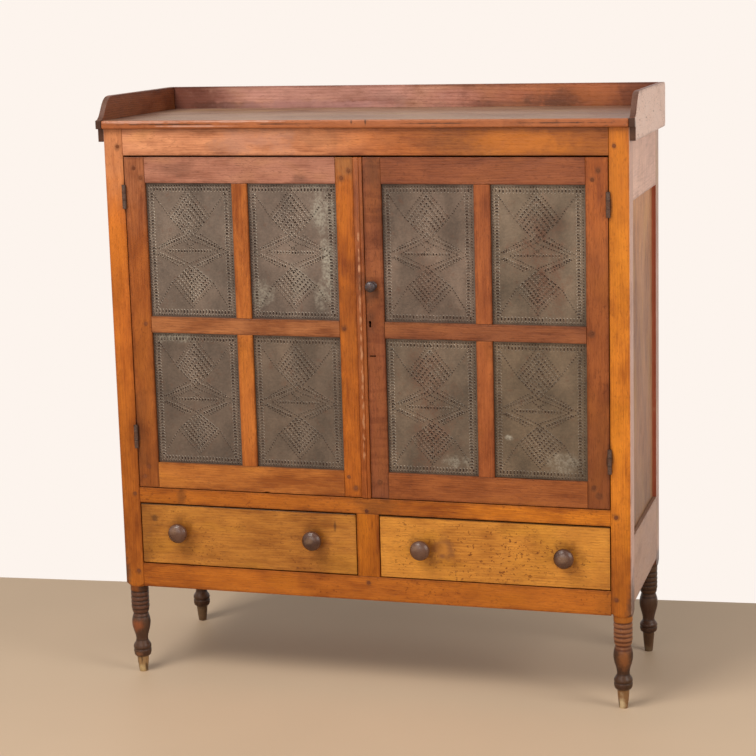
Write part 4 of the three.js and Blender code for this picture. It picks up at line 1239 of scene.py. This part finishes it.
class PIESAFE_OT_tins(bpy.types.Operator):
    """Eight tin sheets, each punched with a border, two diamonds and an eye"""

    bl_idname = "pie_safe.tins"
    bl_label = "Punched tins"

    def punch_mark(self, name, width, length, height, sides, materials):
        """A punched slit with a raised burr round it and a dark floor of painted shade for its
        hole, long across the row that it stands in.
        """
        rims = ((1, 1, -0.1 * MM), (0.88, 0.95, height), (0.72, 0.86, height), (0.64, 0.82, 0))
        punch = raised_rings(name, sides, [(width / 2 * across, length / 2 * along, up)
                                           for across, along, up in rims])
        coated(punch, *materials)
        # Faces inside the burr take the slit's dark: painted shade where the hole would be
        for face in punch.data.polygons:
            inner = (2 * face.center.x / width) ** 2 + (2 * face.center.y / length) ** 2 < 0.62
            face.material_index = 1 if inner else 0
        return faced_forward(punch, (0, 0, 0))

    def row(self, punch, size, line, pitch):
        """Copies of a punch mark along a line."""
        start, end = (Vector(((across - 0.5) * size.x, 0, (0.5 - down) * size.z))
                      for across, down in line)
        run = end - start
        steps = max(1, round(run.length / pitch))
        row = copied(punch, "punched_row")
        array = row.modifiers.new("along_line", "ARRAY")
        array.use_relative_offset = False
        array.use_constant_offset = True
        array.constant_offset_displace = (run.length / steps, 0, 0)
        array.count = steps + 1
        choose(row)
        bpy.ops.object.modifier_apply(modifier=array.name)
        row.rotation_euler = (0, -math.atan2(run.z, run.x), 0)
        row.location = start
        return row

    def pattern(self, sizes, size, materials):
        """The whole punched pattern, flat, round the origin."""
        slit = self.punch_mark("slit", sizes.slit_width, sizes.slit_length, sizes.burr_height,
                               8, materials)
        border = self.punch_mark("border_slit", sizes.slit_width, sizes.border_slit_length,
                                 sizes.burr_height, 8, materials)
        dot = self.punch_mark("dot", sizes.dot_width, sizes.dot_width, sizes.burr_height * 0.8,
                              6, materials)
        slits = list(EYE_ROWS)
        dots = [*OUTER_DOTS, *DOT_LINES]
        for corners in (UPPER_DIAMOND, LOWER_DIAMOND):
            tip, right, foot, left = (Vector(corner) for corner in corners)
            dots += [(tip, right), (right, foot), (foot, left), (left, tip)]
            for index in range(1, CHEVRONS):
                share = index / CHEVRONS
                peak = tip.lerp(foot, share)
                slits += [(left.lerp(foot, share), peak), (peak, right.lerp(foot, share))]
        rows = [self.row(punch, size, line, pitch)
                for punch, lines, pitch in ((slit, slits, sizes.row_pitch),
                                            (border, LEVEL_BORDERS, sizes.border_pitch),
                                            (border, UPRIGHT_BORDERS, sizes.row_pitch),
                                            (dot, dots, sizes.dot_pitch))
                for line in lines]
        whole = joined("punched_pattern", *rows)
        for punch in (slit, border, dot):
            bpy.data.objects.remove(punch)
        return whole

    def sheet(self, sizes, low, high, material):
        """A flat tin sheet, fine enough to buckle."""
        bpy.ops.object.select_all(action="DESELECT")
        bpy.ops.mesh.primitive_grid_add(x_subdivisions=26, y_subdivisions=36, size=1)
        sheet = bpy.context.object
        sheet.scale = (high.x - low.x, high.z - low.z, 1)
        coated(sheet, material)
        middle = (low + high) / 2
        faced_forward(sheet, (middle.x, low.y, middle.z))
        skin = sheet.modifiers.new("thickness", "SOLIDIFY")
        skin.thickness = sizes.sheet_thickness
        skin.offset = -1
        bpy.ops.object.modifier_apply(modifier=skin.name)
        return sheet

    def finishes(self, node, colours, seed, box):
        """One tin's sheet, its burrs with a painted highlight, and its slits dark with dirt and
        painted shade.
        """
        *tone, punch_muting = TIN_TONES[node]
        sheet_colour = Vector(times(colours.tin, *tone))
        sheet = tinplate(node + "_metal", sheet_colour, colours, seed, box,
                         tin_marks(node, colours, 0.9, 1.0))
        # The burrs take a painted highlight: a lighter tin colour, muted towards the sheet's
        burr_colour = Vector(colours.burr).lerp(sheet_colour, punch_muting * 0.75)
        burr = tinplate(node + "_burr", burr_colour, colours, seed,
                        marks=tin_marks(node, colours, 2.0, 1.8))
        # The slits' dark is dirt and painted shade for holes that are not cut
        deep = Vector(times(sheet_colour, 0.62, 0.48, 0.42))
        slit_shade_and_dirt = Vector(times(colours.dirt, 0.8)).lerp(deep, min(1, punch_muting + 0.25))
        return sheet, burr, dark_gap(node + "_slits", slit_shade_and_dirt)

    def execute(self, context):
        sizes, colours = context.scene.pie_safe_sizes, context.scene.pie_safe_colours
        low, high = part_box("left_door_upper_outer_tin")
        size = high - low - Vector((2 * TIN_COVER, 0, 2 * TIN_COVER))
        stand_ins = [bpy.data.materials.new(name) for name in ("burr", "slit")]
        pattern = self.pattern(sizes, size, stand_ins)
        for seed, node in enumerate(TIN_TONES, 70):
            low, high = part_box(node)
            metal, burr, slit = self.finishes(node, colours, seed, (low, high))
            punches = copied(pattern, "punches")
            punches.data.materials[0] = burr
            punches.data.materials[1] = slit
            middle = middle_of(node)
            punches.location = (middle.x, low.y, middle.z)
            tin = joined(node + "_punched", self.sheet(sizes, low, high, metal), punches)
            for name, reach, scale, direction in (("drift_across", sizes.hand_drift, 0.035, "X"),
                                                  ("drift_up", sizes.hand_drift, 0.028, "Z"),
                                                  ("buckle", sizes.sheet_buckle, 0.11, "Y")):
                warped(tin, name, reach, scale, direction)
            dress(tin, node.split("_")[0] + "_door", "punched_tin", node)
        bpy.data.objects.remove(pattern)
        for stand_in in stand_ins:
            bpy.data.materials.remove(stand_in)
        return {"FINISHED"}


# Hinges and knobs, their sizes in millimetres

KNUCKLE_ROUNDING = 0.6
KNUCKLE_PROUD = 0.06
KNUCKLE_GAP = 0.5
PIN_RADIUS = 2.6
PIN_PROUD = 0.4


class PIESAFE_OT_hinges(bpy.types.Operator):
    """Butt hinges with round knuckles, worn leaves and a pin with rounded ends"""

    bl_idname = "pie_safe.hinges"
    bl_label = "Hinges"

    def barrel(self, place, low, high, radius, sides, metal):
        """A short upright cylinder with rounded ends."""
        inner = radius - KNUCKLE_ROUNDING
        piece = turned("barrel", [(inner, low), (radius, low + KNUCKLE_ROUNDING),
                                  (radius, high - KNUCKLE_ROUNDING), (inner, high)],
                       sides, smooth=30)
        piece.location = place
        return coated(piece, metal)

    def hinge(self, side, level, metal, shaded_leaf_metal):
        """The case leaf with two knuckles and the pin, and the door leaf with the third."""
        case_leaf, door_leaf = (f"{side}_{level}_hinge_{part}_leaf" for part in ("case", "door"))
        low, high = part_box(case_leaf)
        half = (high.x - low.x) / 2
        place = (low.x + half, low.y + half, 0)
        bottom, top = low.z / MM, high.z / MM
        third = (top - bottom) / 3
        knuckles = {
            case_leaf: ((bottom, bottom + third), (top - third, top)),
            door_leaf: ((bottom + third + KNUCKLE_GAP, top - third - KNUCKLE_GAP),),
        }
        for leaf, body in ((case_leaf, "case"), (door_leaf, f"{side}_door")):
            parts = [coated(worn_copy(leaf, 0.0002, 0.01), shaded_leaf_metal)]
            parts += [self.barrel(place, start, end, half / MM + KNUCKLE_PROUD, 24, metal)
                      for start, end in knuckles[leaf]]
            if leaf == case_leaf:
                parts.append(self.barrel(place, bottom - PIN_PROUD, top + PIN_PROUD, PIN_RADIUS,
                                         16, metal))
            dress(joined(leaf + "_rounded", *parts), body, "hinge_iron", leaf)

    def execute(self, context):
        colours = context.scene.pie_safe_colours
        metal = iron("hinge_iron", colours.iron, colours, 0.5)
        # The leaves get a darker copy of the iron: painted shade for the gap that they stand in
        shaded_leaf_metal = iron("leaf_iron", times(colours.iron, 0.3, 0.24, 0.22), colours, 0.6)
        for side in ("left", "right"):
            for level in ("upper", "lower"):
                self.hinge(side, level, metal, shaded_leaf_metal)
        return {"FINISHED"}


# Where the drawer knobs are rubbed by hands and carry a painted highlight at the upper left, and
# how each is turned, in radians
KNOB_RUBS_AND_HIGHLIGHTS = ((-505, 404), (-143, 397), (132, 393), (498, 388))
KNOB_TURNS = {"left_drawer_outer_knob": 0, "left_drawer_inner_knob": 0.8,
              "right_drawer_outer_knob": 1.6, "right_drawer_inner_knob": 2.4}


class PIESAFE_OT_knobs(bpy.types.Operator):
    """Turned drawer knobs and the cast knob of the right door"""

    bl_idname = "pie_safe.knobs"
    bl_label = "Knobs"

    def placed(self, knob, node, turn=0.0):
        """A knob that points forward from the front, where its node does."""
        middle = middle_of(node)
        return faced_forward(knob, (middle.x, front_face, middle.z), turn)

    def execute(self, context):
        sizes, colours = context.scene.pie_safe_sizes, context.scene.pie_safe_colours
        drawer_knob = turned("drawer_knob", DRAWER_KNOB_PROFILE, sizes.turning_sides)
        # The lighter patches are wear and a painted highlight at each knob's upper left
        rubbed = times(colours.gallery_end, 0.4, 0.34, 0.26)
        rubs = [(at(x, z, -38), (0.014, 0.02, 0.011), rubbed, 0.4) for x, z in KNOB_RUBS_AND_HIGHLIGHTS]
        material = wood("drawer_knob_finish", colours.knob, "Y", 50, smudge=0.8, specks=0.5,
                        gloss=0.28, shine=0.5, marks=rubs)
        for node, turn in KNOB_TURNS.items():
            knob = self.placed(copied(drawer_knob, node + "_turned"), node, turn)
            dress(coated(knob, material), node.split("_")[0] + "_drawer", "knob_wood", node)
        bpy.data.objects.remove(drawer_knob)
        node = "right_door_knob"
        knob = self.placed(turned(node + "_cast", DOOR_KNOB_PROFILE, sizes.turning_sides), node)
        metal = iron("door_knob_iron", colours.door_knob, colours, 0.24)
        dress(coated(knob, metal), "right_door", "knob_iron", node)
        return {"FINISHED"}


# Drawers

class PIESAFE_OT_drawers(bpy.types.Operator):
    """Drawer fronts, with the marks that use has left on them"""

    bl_idname = "pie_safe.drawers"
    bl_label = "Drawer fronts"

    def grease_and_knob_shadows(self, side, grease_and_shadow):
        """Greasy dirt and painted knob shadow round the two knobs of a drawer, set low and to the
        right.
        """
        middles = [middle_of(f"{side}_drawer_{column}_knob") / MM for column in ("outer", "inner")]
        return [mark(middle.x + 6, middle.z - 2, 43, 40, grease_and_shadow, 0.6) for middle in middles]

    def execute(self, context):
        colours = context.scene.pie_safe_colours
        dirt = times(colours.dirt, 2)
        # Dark tone of the greasy dirt and painted knob shadow
        grease_and_shadow = times(colours.left_drawer, 0.3, 0.2, 0.16)
        knot = times(colours.leg, 2.6, 2.1, 1.4)
        marks = {
            "left": [mark(-571, 424, 11, 10, dirt, 0.6), mark(-86, 426, 4, 16, dirt, 0.6)],
            "right": [mark(192, 384, 32, 38, knot, 0.75),
                      mark(191, 381, 18, 26, times(colours.right_drawer, 0.95), 0.8),
                      mark(190, 366, 10, 8, knot, 0.7)],
        }
        swarms = {
            "left": ((at(-207, 373), (0.14, 0.05, 0.05), 0.5),),
            "right": ((at(330, 380), (0.26, 0.05, 0.09), 0.9),
                      (at(223, 400), (0.06, 0.05, 0.03), 0.9)),
        }
        for side, colour, seed in (("left", colours.left_drawer, 51),
                                   ("right", colours.right_drawer, 52)):
            node = f"{side}_drawer_front"
            low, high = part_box(node)
            # A dark line along the drawer's top edge: dirt and painted shade of the gap under the
            # rail
            top_dirt_and_shade = (2, high.z - 0.0024, high.z - 0.0012, 0.002, times(colours.dirt, 1.2), 0.8)
            material = wood(node + "_shellac", colour, "X", seed, (low, high), figure=0.16,
                            rings=7, specks=0.7, swarms=swarms[side], edge=0.15,
                            fades=FADES.get(node, ()), bands=[top_dirt_and_shade],
                            marks=marks[side] + self.grease_and_knob_shadows(side, grease_and_shadow))
            dress(coated(worn_copy(node, 0.0015), material), f"{side}_drawer", "drawer_wood", node)
        return {"FINISHED"}


# Pegs and nails

class PIESAFE_OT_pegs(bpy.types.Operator):
    """Wooden pegs through the joints of the case and the doors"""

    bl_idname = "pie_safe.pegs"
    bl_label = "Pegs"

    def execute(self, context):
        sizes, colours = context.scene.pie_safe_sizes, context.scene.pie_safe_colours
        radius, proud = sizes.peg_width / 2 / MM, sizes.peg_proud / MM
        gap_width, gap_top = 0.7, 0.2
        peg = turned("peg", [(radius + gap_width, -1.5), (radius + gap_width, 0.08),
                             (radius, 0.1), (radius * 0.97, proud * 0.8), (radius * 0.6, proud),
                             (radius * 0.2, proud)], 14)
        for face in peg.data.polygons:
            face.material_index = 1 if face.center.z < gap_top * MM else 0
        gap = dark_gap("peg_gap", times(colours.dirt, 1.6, 1.4, 1.2))
        for body, slot, places, share in (
                ("case", "front_rails", CASE_PEGS, 0.9),
                ("left_door", "left_door_wood", LEFT_DOOR_PEGS, 1.0),
                ("right_door", "right_door_wood", RIGHT_DOOR_PEGS, 0.72)):
            end_grain = wood(body + "_peg_grain", times(colours.peg, share), "Y", 53, figure=0.2,
                             rings=2, smudge=0.5, gloss=0.62)
            group = []
            for index, (x, z) in enumerate(places):
                copy = copied(peg, "peg_copy")
                copy.scale = (1, 0.9 + 0.2 * math.sin(index * 2.7) ** 2, 1)
                group.append(faced_forward(copy, at(x, z), index * 1.3))
            dress(coated(joined(body + "_pegs", *group), end_grain, gap), body, slot)
        bpy.data.objects.remove(peg)
        return {"FINISHED"}


# Nails in each end of the gallery, in millimetres behind the front and up
GALLERY_NAILS = ((279.5, 1440), (166.8, 1432), (60.9, 1433.7), (32.9, 1401), (390, 1436))


class PIESAFE_OT_nails(bpy.types.Operator):
    """Nail heads in the gallery's ends and the back boards"""

    bl_idname = "pie_safe.nails"
    bl_label = "Nails"

    def execute(self, context):
        sizes, colours = context.scene.pie_safe_sizes, context.scene.pie_safe_colours
        nail = turned("nail", NAIL_PROFILE, 10)
        placed = []
        for node, sign in (("gallery_left_end", -1), ("gallery_right_end", 1)):
            low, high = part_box(node)
            outside = high.x if sign > 0 else low.x
            placed += [((0, sign * math.pi / 2, 0), (outside, front_face + depth * MM, z * MM))
                       for depth, z in GALLERY_NAILS]
        low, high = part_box("back_panel")
        across = 2 * sizes.back_boards
        for index in range(across):
            x = low.x + (index + 0.5) / across * (high.x - low.x)
            placed += [((-math.pi / 2, 0, 0), (x, high.y, z))
                       for z in (low.z + 0.03, (low.z + high.z) / 2, high.z - 0.06)]
        heads = []
        for turn, place in placed:
            head = copied(nail, "head")
            head.rotation_euler = turn
            head.location = place
            heads.append(head)
        bpy.data.objects.remove(nail)
        metal = iron("nail_iron", times(colours.iron, 0.35), colours, 0.6)
        dress(coated(joined("nail_heads", *heads), metal), "case", "hinge_iron")
        return {"FINISHED"}


# Floor, light and camera

# Lamps: name, place, width in metres, power in watts and colour
LAMPS = (
    ("key", (-1.7, -2.9, 4.6), 2.2, 165, (1.0, 0.96, 0.9)),
    ("front", (-0.6, -5.4, 1.9), 2.6, 62, (1.0, 0.97, 0.93)),
    ("side", (4.4, -1.6, 2.6), 2.2, 92, (1.0, 0.98, 0.95)),
)
LAMP_AIM = Vector((0, 0, 0.7))
ROOM_LIGHT = (1, 0.97, 0.93, 1)
ROOM_STRENGTH = 0.27

# The floor's size, place and turn, which put its far edge where the photograph's floor ends
FLOOR_SIZE = (16, 12, 1)
FLOOR_PLACE = (0.52, -5.388, 0)
FLOOR_TURN = 4.96

# The photograph's camera, fitted to the cupboard's straight edges: where it stands, with its
# distance from the front face, its turns in degrees, its lens in millimetres and its shift
CAMERA_PLACE = (1.3535, -4.338, 1.737)
CAMERA_TURNS = {"Z": 15.448, "X": 80.023, "roll": -1.343}
CAMERA_LENS = 89.86
CAMERA_SHIFT = (-0.0595, -0.0701)


class PIESAFE_OT_stage(bpy.types.Operator):
    """Plain floor, soft studio light and the camera of the photograph"""

    bl_idname = "pie_safe.stage"
    bl_label = "Floor, light and camera"

    def floor(self, colours):
        bpy.ops.object.select_all(action="DESELECT")
        bpy.ops.mesh.primitive_plane_add(size=1)
        floor = bpy.context.object
        floor.name = "floor"
        floor.scale = FLOOR_SIZE
        settle(floor)
        floor.rotation_euler = (0, 0, math.radians(FLOOR_TURN))
        floor.location = FLOOR_PLACE
        settle(floor)
        paint = Paint("pale_floor")
        cloud = paint.noise(paint.place, 1.2, 3)
        shade = paint.ramp(cloud, (0.3, times(colours.floor, 0.96)),
                           (0.7, times(colours.floor, 1.04)))
        coated(floor, paint.finish(shade, 0.6, cloud, 0.0001))

    def lamps(self, scene):
        for name, place, width, power, colour in LAMPS:
            light = bpy.data.lights.new(name, "AREA")
            light.size = width
            light.energy = power
            light.color = colour
            lamp = bpy.data.objects.new(name, light)
            scene.collection.objects.link(lamp)
            lamp.location = place
            aim = LAMP_AIM - Vector(place)
            lamp.rotation_euler = aim.to_track_quat("-Z", "Y").to_euler()

    def background(self, scene, colours):
        """Soft light from all round, and the plain background that the camera and gloss see."""
        scene.world = bpy.data.worlds.new("studio")
        scene.world.use_nodes = True
        tree = scene.world.node_tree
        room = tree.nodes["Background"]
        room.inputs["Color"].default_value = ROOM_LIGHT
        room.inputs["Strength"].default_value = ROOM_STRENGTH
        seen = tree.nodes.new("ShaderNodeBackground")
        seen.inputs["Color"].default_value = (*colours.wall, 1)
        path = tree.nodes.new("ShaderNodeLightPath")
        rays = path.outputs["Is Camera Ray"]
        for kind in ("Is Glossy Ray", "Is Transmission Ray"):
            either = tree.nodes.new("ShaderNodeMath")
            either.operation = "MAXIMUM"
            tree.links.new(rays, either.inputs[0])
            tree.links.new(path.outputs[kind], either.inputs[1])
            rays = either.outputs[0]
        mix = tree.nodes.new("ShaderNodeMixShader")
        for socket, source in zip(mix.inputs, (rays, room.outputs[0], seen.outputs[0])):
            tree.links.new(source, socket)
        tree.links.new(mix.outputs[0], tree.nodes["World Output"].inputs["Surface"])

    def camera(self, scene):
        camera = bpy.data.objects.new("camera", bpy.data.cameras.new("camera"))
        scene.collection.objects.link(camera)
        scene.camera = camera
        camera.data.sensor_width = 36
        camera.data.sensor_fit = "HORIZONTAL"
        camera.data.lens = CAMERA_LENS
        camera.data.shift_x, camera.data.shift_y = CAMERA_SHIFT
        x, distance, z = CAMERA_PLACE
        camera.location = (x, distance + front_face, z)
        aim = (Matrix.Rotation(math.radians(CAMERA_TURNS["Z"]), 4, "Z")
               @ Matrix.Rotation(math.radians(CAMERA_TURNS["X"]), 4, "X")
               @ Matrix.Rotation(math.radians(CAMERA_TURNS["roll"]), 4, "Z"))
        camera.rotation_euler = aim.to_euler()

    def execute(self, context):
        scene = context.scene
        self.floor(scene.pie_safe_colours)
        self.lamps(scene)
        self.background(scene, scene.pie_safe_colours)
        self.camera(scene)
        scene.view_settings.view_transform = "Standard"
        return {"FINISHED"}


class PIESAFE_PT_panel(bpy.types.Panel):
    """Lists the pieces of the pie safe and its sizes and colours"""

    bl_idname = "PIESAFE_PT_panel"
    bl_label = "Pie safe"
    bl_space_type = "VIEW_3D"
    bl_region_type = "UI"
    bl_category = "Pie safe"

    def draw(self, context):
        for operator in OPERATORS:
            self.layout.operator(operator.bl_idname)
        for group in (context.scene.pie_safe_sizes, context.scene.pie_safe_colours):
            box = self.layout.box()
            for name in group.__annotations__:
                box.prop(group, name)


OPERATORS = (
    PIESAFE_OT_stage, PIESAFE_OT_posts, PIESAFE_OT_rails, PIESAFE_OT_sides, PIESAFE_OT_inside,
    PIESAFE_OT_back, PIESAFE_OT_top, PIESAFE_OT_doors, PIESAFE_OT_tins, PIESAFE_OT_hinges,
    PIESAFE_OT_knobs, PIESAFE_OT_drawers, PIESAFE_OT_pegs, PIESAFE_OT_nails,
)
CLASSES = (PieSafeSizes, PieSafeColours, *OPERATORS, PIESAFE_PT_panel)


def register():
    for kind in CLASSES:
        bpy.utils.register_class(kind)
    bpy.types.Scene.pie_safe_sizes = bpy.props.PointerProperty(type=PieSafeSizes)
    bpy.types.Scene.pie_safe_colours = bpy.props.PointerProperty(type=PieSafeColours)


def unregister():
    del bpy.types.Scene.pie_safe_colours
    del bpy.types.Scene.pie_safe_sizes
    for kind in reversed(CLASSES):
        bpy.utils.unregister_class(kind)


def main():
    register()
    for operator in OPERATORS:
        group, name = operator.bl_idname.split(".")
        getattr(getattr(bpy.ops, group), name)()


if __name__ == "__main__":
    main()
